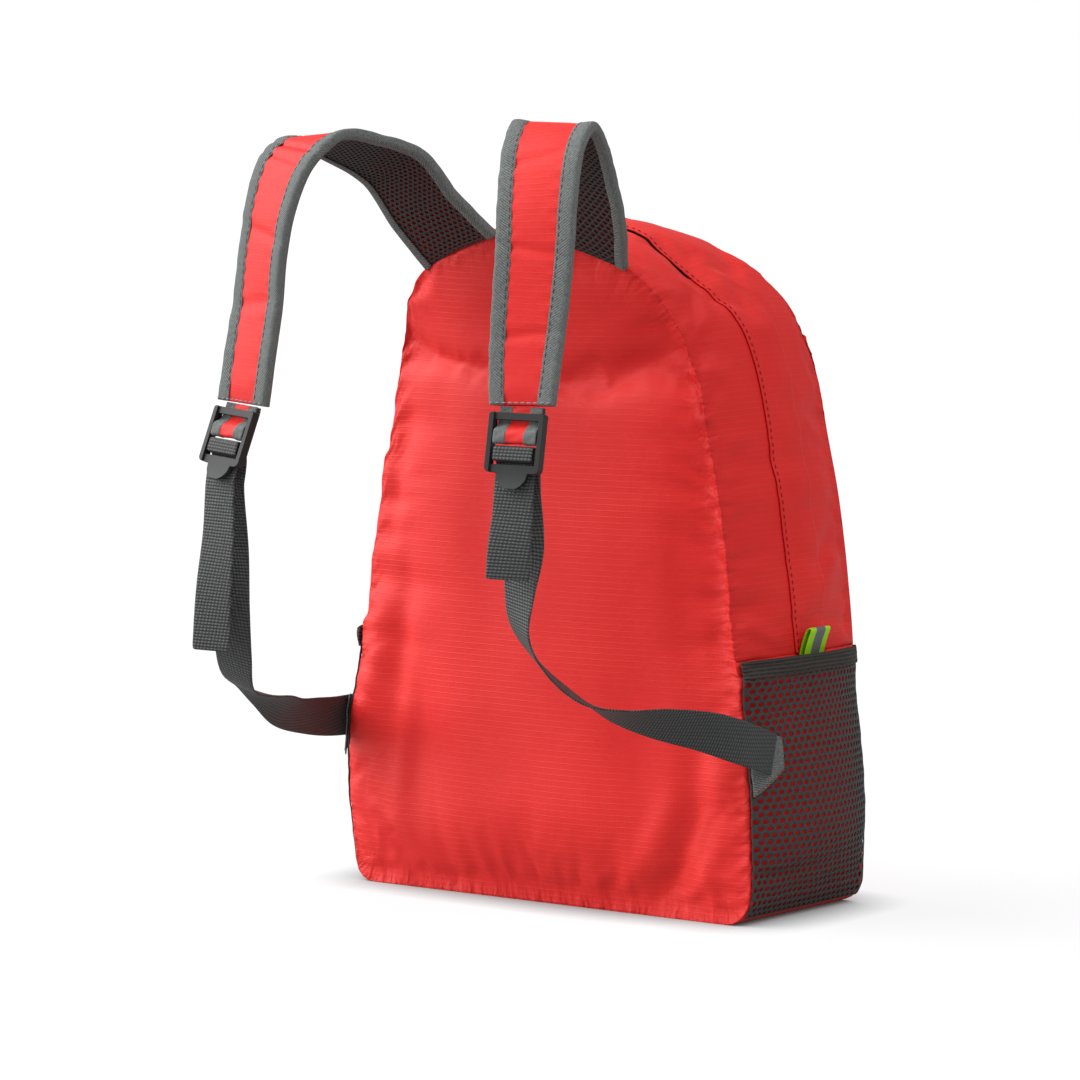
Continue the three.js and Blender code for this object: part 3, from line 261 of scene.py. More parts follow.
def smooth_line(points, steps):
    """A smooth line through points, by chord length, with that many steps between each two."""
    p = np.array(points, float)
    first = 2 * p[0] - p[1]
    last = 2 * p[-1] - p[-2]
    q = np.vstack([first, p, last])
    made = []
    for i in range(len(p) - 1):
        a, b, c, d = q[i:i + 4]
        ts = np.cumsum([0, *(max(np.linalg.norm(v - u), 1e-9) ** 0.5 for u, v in ((a, b), (b, c), (c, d)))])
        for k in range(steps):
            t = ts[1] + (ts[2] - ts[1]) * k / steps
            ab = ((ts[1] - t) * a + (t - ts[0]) * b) / (ts[1] - ts[0])
            bc = ((ts[2] - t) * b + (t - ts[1]) * c) / (ts[2] - ts[1])
            cd = ((ts[3] - t) * c + (t - ts[2]) * d) / (ts[3] - ts[2])
            abc = ((ts[2] - t) * ab + (t - ts[0]) * bc) / (ts[2] - ts[0])
            bcd = ((ts[3] - t) * bc + (t - ts[1]) * cd) / (ts[3] - ts[1])
            made.append(((ts[2] - t) * abc + (t - ts[1]) * bcd) / (ts[2] - ts[1]))
    made.append(p[-1])
    return np.array(made)


bends = np.radians(np.linspace(0, 90, 13))
foot_bend = np.stack([BAG_WIDTH / 2 - CORNER_RADIUS + CORNER_RADIUS * np.sin(bends),
                      CORNER_RADIUS - CORNER_RADIUS * np.cos(bends)], 1)
arch_knots = np.stack([np.array(arch_out) * BAG_WIDTH / 2, np.array(arch_up) * BAG_HEIGHT], 1)
arch_knots = np.vstack([[BAG_WIDTH / 2, CORNER_RADIUS], arch_knots, arch_knots[-2] * [-1, 1]])
half_outline = np.vstack([[[0, 0]], foot_bend, smooth_line(arch_knots, 12)[1:-12]])
outline_run = np.concatenate([[0], np.cumsum(np.linalg.norm(np.diff(half_outline, axis=0), axis=1))])
HALF_LOOP = outline_run[-1]
outline_slope = np.gradient(half_outline, outline_run, axis=0)
outline_slope /= np.linalg.norm(outline_slope, axis=1)[:, None]


def outline_at(side, run):
    """Place and outward direction on the bag's outline, run metres from the middle of its foot."""
    x, z = (np.interp(run, outline_run, half_outline[:, k]) for k in (0, 1))
    tx, tz = (np.interp(run, outline_run, outline_slope[:, k]) for k in (0, 1))
    return side * x, z, side * tz, -tx


def run_at_height(z):
    return np.interp(z, half_outline[1:, 1], outline_run[1:])


def half_width_at(z):
    return outline_at(1, run_at_height(np.maximum(z, CORNER_RADIUS)))[0]


def lean_at(z):
    share = np.maximum(z / BAG_HEIGHT - 0.79, 0) / 0.21
    return -TOP_LEAN * share * share


def dome_share(x, z):
    across = 1 - np.minimum(np.abs(x) / np.maximum(half_width_at(z), 1e-3), 1) ** 2.6
    return across * (1 - (z / BAG_HEIGHT) ** 7) * (1 - (1 - np.minimum(z / (0.16 * BAG_HEIGHT), 1)) ** 2)


back_hollows = [
    (0.62, 0.30, 0.22, 0.24, 0.70, -8), (-0.55, 0.20, 0.10, 0.13, 0.45, 28), (-0.78, 0.33, 0.09, 0.06, 0.40, 40),
    (0.70, 0.10, 0.16, 0.06, 0.35, 30), (-0.20, 0.55, 0.16, 0.20, 0.25, 10), (-0.45, 0.78, 0.12, 0.10, 0.25, -25),
    (0.10, 0.12, 0.35, 0.10, -0.30, 0), (0.72, 0.50, 0.07, 0.16, 0.40, 12),
]


def back_hollow(x, z):
    depth = 0
    for across, up, wide, tall, deep, turn in back_hollows:
        dx, dz = x / (BAG_WIDTH / 2) - across, z / BAG_HEIGHT - up
        c, s = math.cos(math.radians(turn)), math.sin(math.radians(turn))
        depth = depth + deep * np.exp(-((dx * c + dz * s) / wide) ** 2 - ((dz * c - dx * s) / tall) ** 2)
    return depth


RUN_BASE = outline_run[7]
BASE_EDGE = half_outline[7, 1]
RUN_HEM = run_at_height(HEM_HEIGHT)
RUN_SHOULDER = run_at_height(0.84 * BAG_HEIGHT)


def gusset_place(side, run, y, off):
    """Point of the gusset loop, off metres outside its plain surface."""
    x, z, nx, nz = outline_at(side, run)
    depth_share = np.clip((y + BAG_DEPTH / 2) / BAG_DEPTH, 0, 1)
    grown = smooth_step((run - RUN_BASE) / (0.12 * HALF_LOOP))
    out = off + SIDE_BULGE * np.sin(np.pi * depth_share) * grown
    return np.stack([x + nx * out, y + lean_at(z), z + nz * out], -1)


ACROSS_STEPS = 76
UP_STEPS = 96
DEEP_STEPS = 36
loop_runs = np.concatenate([
    np.linspace(0, RUN_BASE, ACROSS_STEPS // 2 + 1)[:-1],
    np.linspace(RUN_BASE, RUN_SHOULDER, UP_STEPS + 1)[:-1],
    np.linspace(RUN_SHOULDER, HALF_LOOP, ACROSS_STEPS // 2 + 1),
])
LOOP_HALF_STEPS = len(loop_runs) - 1


def flat_panel(u, v):
    """Flat place of a panel: u from -1 to 1 across it, v from 0 at the foot to 1 at the top."""
    def border(side, run):
        x, z, _, _ = outline_at(side, run)
        return np.stack([x, z], -1)

    side = np.where(u < 0, -1, 1)
    low = border(side, np.abs(u) * RUN_BASE)
    high = border(side, HALF_LOOP + (RUN_SHOULDER - HALF_LOOP) * np.abs(u))
    rise = RUN_BASE + (RUN_SHOULDER - RUN_BASE) * v
    left, right = border(-1, rise), border(1, rise)
    a = ((u + 1) / 2)[:, None]
    b = v[:, None]
    corner = {(s, k): border(s, np.full_like(v, RUN_SHOULDER if k else RUN_BASE)) for s in (-1, 1) for k in (0, 1)}
    sides = left * (1 - a) + right * a
    ends = low * (1 - b) + high * b
    corners = (corner[-1, 0] * (1 - a) + corner[1, 0] * a) * (1 - b) + (corner[-1, 1] * (1 - a) + corner[1, 1] * a) * b
    return sides + ends - corners


PANEL_BACK, PANEL_FRONT, PANEL_LOOP = 1, 2, 3


def panel_patch(shell, mark_layer, cloth_layer, mark, face):
    made = bmesh.ops.create_grid(shell, x_segments=ACROSS_STEPS, y_segments=UP_STEPS, size=1)["verts"]
    uv = np.array([(v.co.x, v.co.y) for v in made])
    flat = flat_panel(uv[:, 0], (uv[:, 1] + 1) / 2)
    x, z = flat[:, 0], flat[:, 1]
    if mark == PANEL_BACK:
        bulge = BACK_DOME * dome_share(x, z) * (1 - back_hollow(x, z))
    else:
        bulge = FRONT_DOME * dome_share(x, z)
    y = face * (BAG_DEPTH / 2 + bulge) + lean_at(z)
    for vert, px, py, pz in zip(made, x, y, z):
        vert.co = (px, py, pz)
    faces = {f for v in made for f in v.link_faces}
    for f in faces:
        f[mark_layer] = mark
        for loop in f.loops:
            loop[cloth_layer].uv = (loop.vert.co.x, loop.vert.co.z)
    return made


shell = bmesh.new()
mark_layer = shell.faces.layers.int.new("panel")
cloth_layer = shell.loops.layers.uv.new("cloth")
panel_patch(shell, mark_layer, cloth_layer, PANEL_BACK, -1)
panel_patch(shell, mark_layer, cloth_layer, PANEL_FRONT, 1)
loop_verts = bmesh.ops.create_grid(
    shell, x_segments=2 * LOOP_HALF_STEPS, y_segments=DEEP_STEPS, size=1)["verts"]
around = np.array([round((v.co.x + 1) * LOOP_HALF_STEPS) for v in loop_verts]) - LOOP_HALF_STEPS
deep = np.array([(v.co.y + 1) / 2 for v in loop_verts])
loop_side = np.where(around < 0, -1, 1)
loop_run = loop_runs[LOOP_HALF_STEPS - np.abs(around)]
loop_y = (deep - 0.5) * BAG_DEPTH
loop_places = gusset_place(loop_side, loop_run, loop_y, 0)
for vert, p in zip(loop_verts, loop_places):
    vert.co = p
loop_flat = {v: (s * (HALF_LOOP - r), y) for v, s, r, y in zip(loop_verts, loop_side, loop_run, loop_y)}
for f in {f for v in loop_verts for f in v.link_faces}:
    f[mark_layer] = PANEL_LOOP
    for loop in f.loops:
        loop[cloth_layer].uv = loop_flat[loop.vert][::-1]
bmesh.ops.remove_doubles(shell, verts=shell.verts, dist=0.0004)
bmesh.ops.recalc_face_normals(shell, faces=shell.faces)
shell_data = bpy.data.meshes.new("bag_shell")
shell.to_mesh(shell_data)
shell.free()
bag_shell = bpy.data.objects.new("bag_shell", shell_data)
bpy.context.scene.collection.objects.link(bag_shell)


def read_places(data):
    flat = np.zeros(len(data.vertices) * 3, np.float32)
    data.vertices.foreach_get("co", flat)
    return flat.reshape(-1, 3).astype(float)


def write_places(data, places):
    data.vertices.foreach_set("co", places.astype(np.float32).ravel())
    data.update()


sewn = read_places(shell_data)
marks = np.zeros(len(shell_data.polygons), int)
shell_data.attributes["panel"].data.foreach_get("value", marks)
touches = [set() for _ in sewn]
for polygon, mark in zip(shell_data.polygons, marks):
    for i in polygon.vertices:
        touches[i].add(int(mark))
on_seam = np.array([len(t) > 1 for t in touches])
on_base = sewn[:, 2] < 0.012
pins = bag_shell.vertex_groups.new(name="pins")
pins.add([int(i) for i in np.nonzero(on_seam | on_base)[0]], 1.0, "ADD")

blown = bag_shell.copy()
blown.data = bag_shell.data.copy()
bpy.context.scene.collection.objects.link(blown)
cloth = blown.modifiers.new("air", "CLOTH")
cloth.settings.quality = 5
cloth.settings.mass = 0.12
cloth.settings.tension_stiffness = 12
cloth.settings.compression_stiffness = 12
cloth.settings.shear_stiffness = 4
cloth.settings.bending_stiffness = 0.02
cloth.settings.use_pressure = True
cloth.settings.uniform_pressure_force = 3.0
cloth.settings.shrink_min = -0.035
cloth.settings.vertex_group_mass = "pins"
cloth.settings.effector_weights.gravity = 0
cloth.collision_settings.use_collision = False
cloth.point_cache.frame_start = 1
cloth.point_cache.frame_end = 24
for step in range(1, 25):
    bpy.context.scene.frame_set(step)
settled = blown.evaluated_get(bpy.context.evaluated_depsgraph_get()).to_mesh()
moved = read_places(settled) - sewn
blown.evaluated_get(bpy.context.evaluated_depsgraph_get()).to_mesh_clear()
bpy.context.scene.frame_set(1)
bpy.data.objects.remove(blown)
reach = np.linalg.norm(moved, axis=1)
MOST_MOVE = 0.007
held = MOST_MOVE * np.tanh(reach / MOST_MOVE) / np.maximum(reach, 1e-9)
under_net = np.array([t == {PANEL_LOOP} for t in touches]) * smooth_step((HEM_HEIGHT - sewn[:, 2]) / 0.03)
held = held * (1 - 0.65 * under_net)
write_places(shell_data, sewn + moved * held[:, None])
print("air: largest move", round(float(reach.max()) * 1000, 1), "mm, mean", round(float(reach.mean()) * 1000, 2))


# Where the rear seam is pushed out or drawn in on the left and on the right, by height, with short steps.
seam_shifts = {
    -1: [(0, 0), (0.012, -0.0028), (0.03, -0.001), (0.045, 0.001), (0.06, 0.002), (0.09, 0.004), (0.107, 0.0042),
         (0.125, 0.0018), (0.14, -0.0003), (0.165, -0.0012), (0.19, -0.0005), (0.23, -0.0028), (0.27, -0.0022),
         (0.30, -0.001), (0.33, 0.0005), (0.345, 0.002), (0.36, 0.005), (0.372, 0.0025), (0.385, 0)],
    1: [(0, 0), (0.02, 0.0008), (0.085, -0.001), (0.10, 0.001), (0.14, 0.0008), (0.16, -0.0008), (0.22, 0.0006),
        (0.30, 0.0012), (0.335, -0.0006), (0.36, 0.001), (0.385, 0)],
}
seam_steps = {-1: [(0.350, 0.0028, 0.012), (0.257, 0.0030, 0.015), (0.158, 0.0032, 0.012)],
              1: [(0.142, 0.0014, 0.008), (0.083, 0.0016, 0.010), (0.035, 0.0012, 0.008)]}


def seam_shift(side, z):
    heights, shifts = zip(*seam_shifts[side])
    moved_out = np.interp(z, heights, shifts) + 0.0005 * np.sin(z * 430 + side) * np.sin(z * 170) * (z > 0.02)
    for top, out, long in seam_steps[side]:
        moved_out = moved_out + out * np.where(z < top, np.exp((z - top) / long), np.exp(-((z - top) / 0.0016) ** 2))
    return moved_out


# Soft folds of the back panel: place across and up, half length, half width, metres outward, turn.
back_folds = [
    (0.86, 0.46, 0.30, 0.16, -0.0055, 90), (0.76, 0.20, 0.09, 0.07, -0.0040, 60), (0.88, 0.24, 0.10, 0.05, 0.0025, 35),
    (0.69, 0.065, 0.08, 0.05, -0.0030, 20), (0.84, 0.035, 0.10, 0.025, 0.0020, -40), (0.62, 0.13, 0.13, 0.04, 0.0020, 30),
    (-0.86, 0.33, 0.13, 0.07, 0.0045, 60), (-0.69, 0.335, 0.15, 0.06, -0.0045, 70), (-0.60, 0.22, 0.12, 0.06, -0.0020, 80),
    (-0.84, 0.06, 0.11, 0.025, -0.0016, -55), (-0.74, 0.04, 0.09, 0.02, 0.0014, -50), (-0.45, 0.03, 0.10, 0.02, -0.0014, -65),
    (-0.80, 0.65, 0.12, 0.05, 0.0024, 50), (-0.70, 0.63, 0.12, 0.05, -0.0022, 55), (-0.84, 0.84, 0.07, 0.04, -0.0018, 60),
    (0.72, 0.80, 0.06, 0.05, -0.0025, 40), (0.80, 0.72, 0.08, 0.04, -0.0022, 75), (0.30, 0.04, 0.12, 0.02, 0.0012, 15),
]
# Soft folds of the gusset: side, run from the middle of the foot, metres from the rear seam, half length,
# half width, metres outward and turn.
gusset_folds = [
    (1, 0.505, 0.008, 0.012, 0.0035, 0.0018, 25), (1, 0.494, 0.012, 0.016, 0.005, -0.0022, 20),
    (1, 0.484, 0.009, 0.013, 0.0035, 0.0020, 12), (1, 0.470, 0.012, 0.016, 0.006, -0.0024, -15),
    (1, 0.458, 0.008, 0.013, 0.0035, 0.0020, -22), (1, 0.446, 0.010, 0.014, 0.005, -0.0016, 15),
    (1, 0.418, 0.016, 0.018, 0.007, 0.0016, -12), (1, 0.404, 0.014, 0.020, 0.007, -0.0018, -18),
    (1, 0.36, 0.030, 0.022, 0.040, -0.0020, 80), (1, 0.40, 0.054, 0.008, 0.050, -0.0022, 90),
    (1, 0.335, 0.088, 0.018, 0.008, 0.0024, 35), (1, 0.352, 0.092, 0.020, 0.007, -0.0022, 40),
    (1, 0.306, 0.020, 0.016, 0.005, 0.0016, -30), (-1, 0.36, 0.030, 0.022, 0.040, -0.0020, 80),
    (-1, 0.49, 0.012, 0.014, 0.005, -0.0022, -20), (-1, 0.46, 0.010, 0.014, 0.005, 0.0018, 20),
    (-1, 0.40, 0.030, 0.030, 0.008, -0.0020, 15),
]


def hump(dx, dy, long, wide, turn):
    c, s = math.cos(math.radians(turn)), math.sin(math.radians(turn))
    return np.exp(-((dx * c + dy * s) / long) ** 2 - ((dy * c - dx * s) / wide) ** 2)


shaped = read_places(shell_data)
near_layer = np.zeros(len(sewn))
run_layer = np.zeros(len(sewn))
on_back = np.array([PANEL_BACK in t for t in touches])
on_loop = np.array([PANEL_LOOP in t for t in touches])
plain_y = sewn[:, 1] - lean_at(sewn[:, 2])
vertex_side = np.where(sewn[:, 0] < 0, -1, 1)
seam_tree = KDTree(4 * len(loop_runs))
seam_runs = np.linspace(0, HALF_LOOP, 2 * len(loop_runs))
for side_sign in (-1, 1):
    for i, (x, z) in enumerate(zip(*outline_at(side_sign, seam_runs)[:2])):
        seam_tree.insert((x, 0, z), i)
seam_tree.balance()
for i, p in enumerate(sewn):
    spot, nearest, off_seam = seam_tree.find((p[0], 0, p[2]))
    run_layer[i] = seam_runs[nearest] * vertex_side[i]
    if on_loop[i]:
        off_seam = min(plain_y[i] + BAG_DEPTH / 2, BAG_DEPTH / 2 - plain_y[i])
    near_layer[i] = math.exp(-max(off_seam, 0) / 0.010)
from_rear = np.where(on_back, near_layer, np.exp(-(np.maximum(plain_y + BAG_DEPTH / 2, 0) / 0.018) ** 2))
from_rear = np.where(on_back | on_loop, from_rear, 0)
back_reach = np.where(on_back & ~on_loop, np.exp(-(np.log(np.maximum(near_layer, 1e-9)) * 0.010 / 0.020) ** 2), from_rear)
for side_sign in (-1, 1):
    on_side = (vertex_side == side_sign) & (np.abs(sewn[:, 0]) > 0.02)
    shaped[on_side, 0] += side_sign * (seam_shift(side_sign, sewn[:, 2]) * back_reach)[on_side]
for across, up, long, wide, out, turn in back_folds:
    fold = hump(sewn[:, 0] / (BAG_WIDTH / 2) - across, sewn[:, 2] / BAG_HEIGHT - up, long, wide, turn)
    shaped[:, 1] -= np.where(on_back & ~on_loop, out * fold * (1 - near_layer ** 2), 0)
gusset_run = np.abs(run_layer)
for side_sign, run, off, long, wide, out, turn in gusset_folds:
    fold = hump(plain_y + BAG_DEPTH / 2 - off, gusset_run - run, long, wide, turn)
    fold = np.where(on_loop & (vertex_side == side_sign), out * fold * (1 - near_layer ** 2), 0)
    shaped[:, 0] += side_sign * fold * 0.8
    shaped[:, 2] += fold * np.clip((sewn[:, 2] - 0.30) / 0.09, 0, 1)
front_full = smooth_step((sewn[:, 2] - 0.10) / 0.08) * smooth_step((0.37 - sewn[:, 2]) / 0.08)
front_only = np.array([PANEL_FRONT in t for t in touches])
shaped[:, 1] += np.where(front_only, 0.0045 * front_full, 0)
write_places(shell_data, shaped)
for layer_name, values in (("seam_near", near_layer), ("seam_run", run_layer), ("depth", plain_y + BAG_DEPTH / 2)):
    layer = shell_data.attributes.new(layer_name, "FLOAT", "POINT")
    layer.data.foreach_set("value", values.astype(np.float32))


def add_object(name, mesh_or_bmesh, material):
    if isinstance(mesh_or_bmesh, bmesh.types.BMesh):
        data = bpy.data.meshes.new(name)
        mesh_or_bmesh.to_mesh(data)
        mesh_or_bmesh.free()
    else:
        data = mesh_or_bmesh
    for polygon in data.polygons:
        polygon.use_smooth = True
    if material is not None:
        data.materials.clear()
        data.materials.append(material)
    made = bpy.data.objects.new(name, data)
    bpy.context.scene.collection.objects.link(made)
    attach(made, "root")
    return made


def finish_with(piece, wall=None, offset=-1, levels=0, bevel=None, bevel_segments=2):
    if wall:
        thick = piece.modifiers.new("wall", "SOLIDIFY")
        thick.thickness = wall
        thick.offset = offset
        thick.use_even_offset = False
    if bevel:
        rounded = piece.modifiers.new("edges", "BEVEL")
        rounded.width = bevel
        rounded.segments = bevel_segments
        rounded.limit_method = "ANGLE"
        rounded.angle_limit = math.radians(40)
        rounded.harden_normals = True
    if levels:
        smoothed = piece.modifiers.new("smooth", "SUBSURF")
        smoothed.levels = levels
        smoothed.render_levels = levels
    return piece


def cut_from_shell(name, keep, replaced, levels=0):
    """The part of the sewn shell whose faces keep(mark, middle, depth) accepts, as a piece of its own."""
    cut = bmesh.new()
    cut.from_mesh(shell_data)
    layer = cut.faces.layers.int["panel"]
    depth = cut.verts.layers.float["depth"]
    spare = [f for f in cut.faces
             if not keep(f[layer], f.calc_center_median(), sum(v[depth] for v in f.verts) / len(f.verts))]
    bmesh.ops.delete(cut, geom=spare, context="FACES")
    piece = add_object(name, cut, gathered_ripstop)
    finish_with(piece, wall=CLOTH, levels=levels)
    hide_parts(*replaced)
    return piece


cut_from_shell("back_cloth", lambda m, p, d: m == PANEL_BACK, ["back_panel"], 1)
cut_from_shell("front_cloth", lambda m, p, d: m == PANEL_FRONT, ["front_panel"])
cut_from_shell("base_cloth", lambda m, p, d: m == PANEL_LOOP and p.z < BASE_EDGE, ["base_panel"])
for side_name, side_sign in (("left", -1), ("right", 1)):
    cut_from_shell(
        f"side_cloth_{side_name}",
        lambda m, p, d: m == PANEL_LOOP and BASE_EDGE <= p.z < HEM_HEIGHT and p.x * side_sign > 0,
        [f"side_panel_{side_name}"],
    )
cut_from_shell(
    "rear_gusset_cloth",
    lambda m, p, d: m == PANEL_LOOP and p.z >= HEM_HEIGHT and d < REAR_GUSSET,
    ["rear_gusset"], 1,
)
cut_from_shell(
    "front_gusset_cloth",
    lambda m, p, d: m == PANEL_LOOP and p.z >= HEM_HEIGHT and d > REAR_GUSSET + ZIP_WIDTH,
    ["front_gusset"], 1,
)

# How far the filled cloth has moved from its plain surface, over the gusset loop, so that what is
# sewn on it lies on it.
filled = read_places(shell_data)
on_front = np.array([PANEL_FRONT in t for t in touches])
seeker = KDTree(len(sewn))
for i, p in enumerate(sewn):
    seeker.insert(p, i)
seeker.balance()
loop_moved = np.zeros((2 * LOOP_HALF_STEPS + 1, DEEP_STEPS + 1, 3))
for a in range(2 * LOOP_HALF_STEPS + 1):
    k = a - LOOP_HALF_STEPS
    row = gusset_place(-1 if k < 0 else 1, loop_runs[LOOP_HALF_STEPS - abs(k)],
                       (np.arange(DEEP_STEPS + 1) / DEEP_STEPS - 0.5) * BAG_DEPTH, 0)
    for b, p in enumerate(row):
        i = seeker.find(p)[1]
        loop_moved[a, b] = filled[i] - sewn[i]
bpy.data.objects.remove(bag_shell)


def on_gusset(side, run, y, off):
    """Point off metres outside the filled gusset; side is 1 right or -1 left, all may be arrays."""
    side, run, y, off = np.broadcast_arrays(side, run, y, off)
    plain = gusset_place(side, run, y, off)
    steps = np.interp(run, loop_runs, np.arange(LOOP_HALF_STEPS + 1))
    a = LOOP_HALF_STEPS + side * (LOOP_HALF_STEPS - steps)
    b = np.clip((y / BAG_DEPTH + 0.5) * DEEP_STEPS, 0, DEEP_STEPS)
    ia = np.minimum(a.astype(int), 2 * LOOP_HALF_STEPS - 1)
    ib = np.minimum(b.astype(int), DEEP_STEPS - 1)
    fa, fb = (a - ia)[..., None], (b - ib)[..., None]
    low = loop_moved[ia, ib] * (1 - fa) + loop_moved[ia + 1, ib] * fa
    high = loop_moved[ia, ib + 1] * (1 - fa) + loop_moved[ia + 1, ib + 1] * fa
    return plain + low * (1 - fb) + high * fb

# Plain weave and twill tapes: dark binding tape, zip tape, ribbed elastic and sewing thread.
# Each follows the piece's own flat map, in metres: first coordinate along it, second across it.


def cloth_coordinates(tree):
    flat_map = tree.nodes.new("ShaderNodeUVMap")
    flat_map.uv_map = "cloth"
    parts = tree.nodes.new("ShaderNodeSeparateXYZ")
    tree.links.new(flat_map.outputs["UV"], parts.inputs[0])
    return parts.outputs[0], parts.outputs[1]


def wave_of(tree, coordinate, pitch):
    return sum_of(tree, "SINE", sum_of(tree, "MULTIPLY", coordinate, 2 * math.pi / pitch), None)


def twill_tape(name, light, dark, pitch, rough=0.8, height=0.00025):
    made, tree, shader = new_material(name, light, rough, 0.25)
    along, across = cloth_coordinates(tree)
    slant = sum_of(tree, "ADD", along, across)
    back_slant = sum_of(tree, "SUBTRACT", along, across)
    ridges = sum_of(tree, "ADD", wave_of(tree, slant, pitch), sum_of(
        tree, "MULTIPLY", wave_of(tree, back_slant, pitch * 0.62), 0.4))
    places = tree.nodes.new("ShaderNodeTexCoord").outputs["Object"]
    fuzz = noise_of(tree, places, 900, 2)
    raised = sum_of(tree, "ADD", sum_of(tree, "MULTIPLY", ridges, 0.27), fuzz)
    tree.links.new(blend_colours(tree, raised, dark, light), shader.inputs["Base Color"])
    add_bump(tree, shader, raised, height, 0.8)
    return made


def plain_thread(name, colour):
    made, tree, shader = new_material(name, colour, 0.7, 0.3)
    places = tree.nodes.new("ShaderNodeTexCoord").outputs["Object"]
    twist = noise_of(tree, places, 1500, 1)
    tree.links.new(blend_colours(tree, twist, tuple(c * 0.6 for c in colour), colour), shader.inputs["Base Color"])
    add_bump(tree, shader, twist, 0.0001)
    return made


binding_tape = twill_tape("binding_tape", (0.26, 0.28, 0.27), (0.042, 0.047, 0.046), 0.0015)
zip_tape = twill_tape("zip_tape", (0.05, 0.054, 0.055), (0.02, 0.022, 0.023), 0.0012)
grey_thread = plain_thread("grey_thread", (0.075, 0.08, 0.08))
red_thread = plain_thread("red_thread", (0.30, 0.008, 0.008))
pale_thread = plain_thread("pale_thread", (0.30, 0.31, 0.32))


def cloth_grid(across_steps, along_steps, place, flat):
    """A sheet laid out by place(u, v) for u and v from 0 to 1; flat(u, v) gives its flat map in metres."""
    sheet = bmesh.new()
    layer = sheet.loops.layers.uv.new("cloth")
    made = bmesh.ops.create_grid(sheet, x_segments=across_steps, y_segments=along_steps, size=0.5)["verts"]
    uv = np.array([(v.co.x + 0.5, v.co.y + 0.5) for v in made])
    places = place(uv[:, 0], uv[:, 1])
    lies = np.stack(np.broadcast_arrays(*flat(uv[:, 0], uv[:, 1])), -1)
    sheet.verts.index_update()
    for vert, p in zip(made, places):
        vert.co = p
    order = {v: i for i, v in enumerate(made)}
    for f in sheet.faces:
        for loop in f.loops:
            loop[layer].uv = lies[order[loop.vert]]
    return sheet


def faces_toward(sheet, direction):
    """Turns a sheet's faces so that they look along a direction on the whole."""
    total = Vector((0, 0, 0))
    for f in sheet.faces:
        f.normal_update()
        total += f.normal * f.calc_area()
    if total.dot(Vector(direction)) < 0:
        bmesh.ops.reverse_faces(sheet, faces=sheet.faces)
    return sheet


def sew(name, places, ups, thread, stitch=0.0026, gap=0.0016, radius=0.00028):
    """A row of lock stitches: thin threads laid end to end along places, lifted half out of the cloth."""
    places, ups = np.array(places, float), np.array(ups, float)
    run = np.concatenate([[0], np.cumsum(np.linalg.norm(np.diff(places, axis=0), axis=1))])
    row = bmesh.new()
    for start in np.arange(gap / 2, run[-1] - stitch, stitch + gap):
        a, b = (np.array([np.interp(start + d, run, places[:, k]) for k in range(3)]) for d in (0, stitch))
        up = np.array([np.interp(start, run, ups[:, k]) for k in range(3)])
        along = b - a
        length = np.linalg.norm(along)
        if length < 1e-6:
            continue
        turn = Vector(along / length).to_track_quat("Z", "Y").to_matrix().to_4x4()
        turn.translation = Vector((a + b) / 2 + up / max(np.linalg.norm(up), 1e-9) * radius * 0.5)
        made = bmesh.ops.create_uvsphere(row, u_segments=6, v_segments=4, radius=1)["verts"]
        bmesh.ops.scale(row, vec=(radius, radius, length / 2), verts=made)
        bmesh.ops.transform(row, matrix=turn, verts=made)
    return add_object(name, row, thread)


# Rain flap of the main zip: a strip of the same red cloth, sewn down along its rear edge and loose over
# the zip, which it hides. A row of red stitches runs along the sewn edge.
FLAP_FROM = -BAG_DEPTH / 2 + REAR_GUSSET - 0.002
FLAP_WIDTH = 0.031
FLAP_LIFT = 0.0012


def over_the_arch(u, run_low=RUN_HEM + 0.0004):
    """Side and run for u from 0 at the right hem, over the top, to 1 at the left hem."""
    side = np.where(u < 0.5, 1, -1)
    return side, HALF_LOOP - (HALF_LOOP - run_low) * np.abs(2 * u - 1)


def flap_place(u, v):
    side, run = over_the_arch(u)
    loose = smooth_step((v - 0.15) / 0.5)
    ripple = 0.0007 * np.sin(run * 95 + side) * loose + 0.0005 * np.sin(run * 210 + 2 * side) * loose
    return on_gusset(side, run, FLAP_FROM + v * FLAP_WIDTH, FLAP_LIFT + ripple + 0.0009 * loose)


flap_sheet = cloth_grid(300, 10, flap_place, lambda u, v: (v * FLAP_WIDTH, u * 2 * (HALF_LOOP - RUN_HEM)))
bmesh.ops.recalc_face_normals(flap_sheet, faces=flap_sheet.faces)
faces_toward(flap_sheet, (0, 0, 1))
flap = add_object("flap_cloth", flap_sheet, ripstop)
finish_with(flap, wall=0.0009, levels=1)
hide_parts("zip_flap")
stitch_u = np.linspace(0.002, 0.998, 400)
flap_side, flap_run = over_the_arch(stitch_u)
flap_seam = on_gusset(flap_side, flap_run, FLAP_FROM + 0.0022, FLAP_LIFT + 0.0003)
sew("flap_stitches", flap_seam, flap_seam - [0, 0, 0.15], red_thread)

# Main zip: dark twill tape with a nylon coil along its middle. The flap hides all but its ends.
zip_from = -BAG_DEPTH / 2 + REAR_GUSSET + 0.0004


def zip_place(u, v):
    side, run = over_the_arch(u)
    return on_gusset(side, run, zip_from + v * (ZIP_WIDTH - 0.0008), -0.0003 + 0.0006 * np.exp(-((v - 0.5) / 0.12) ** 2))


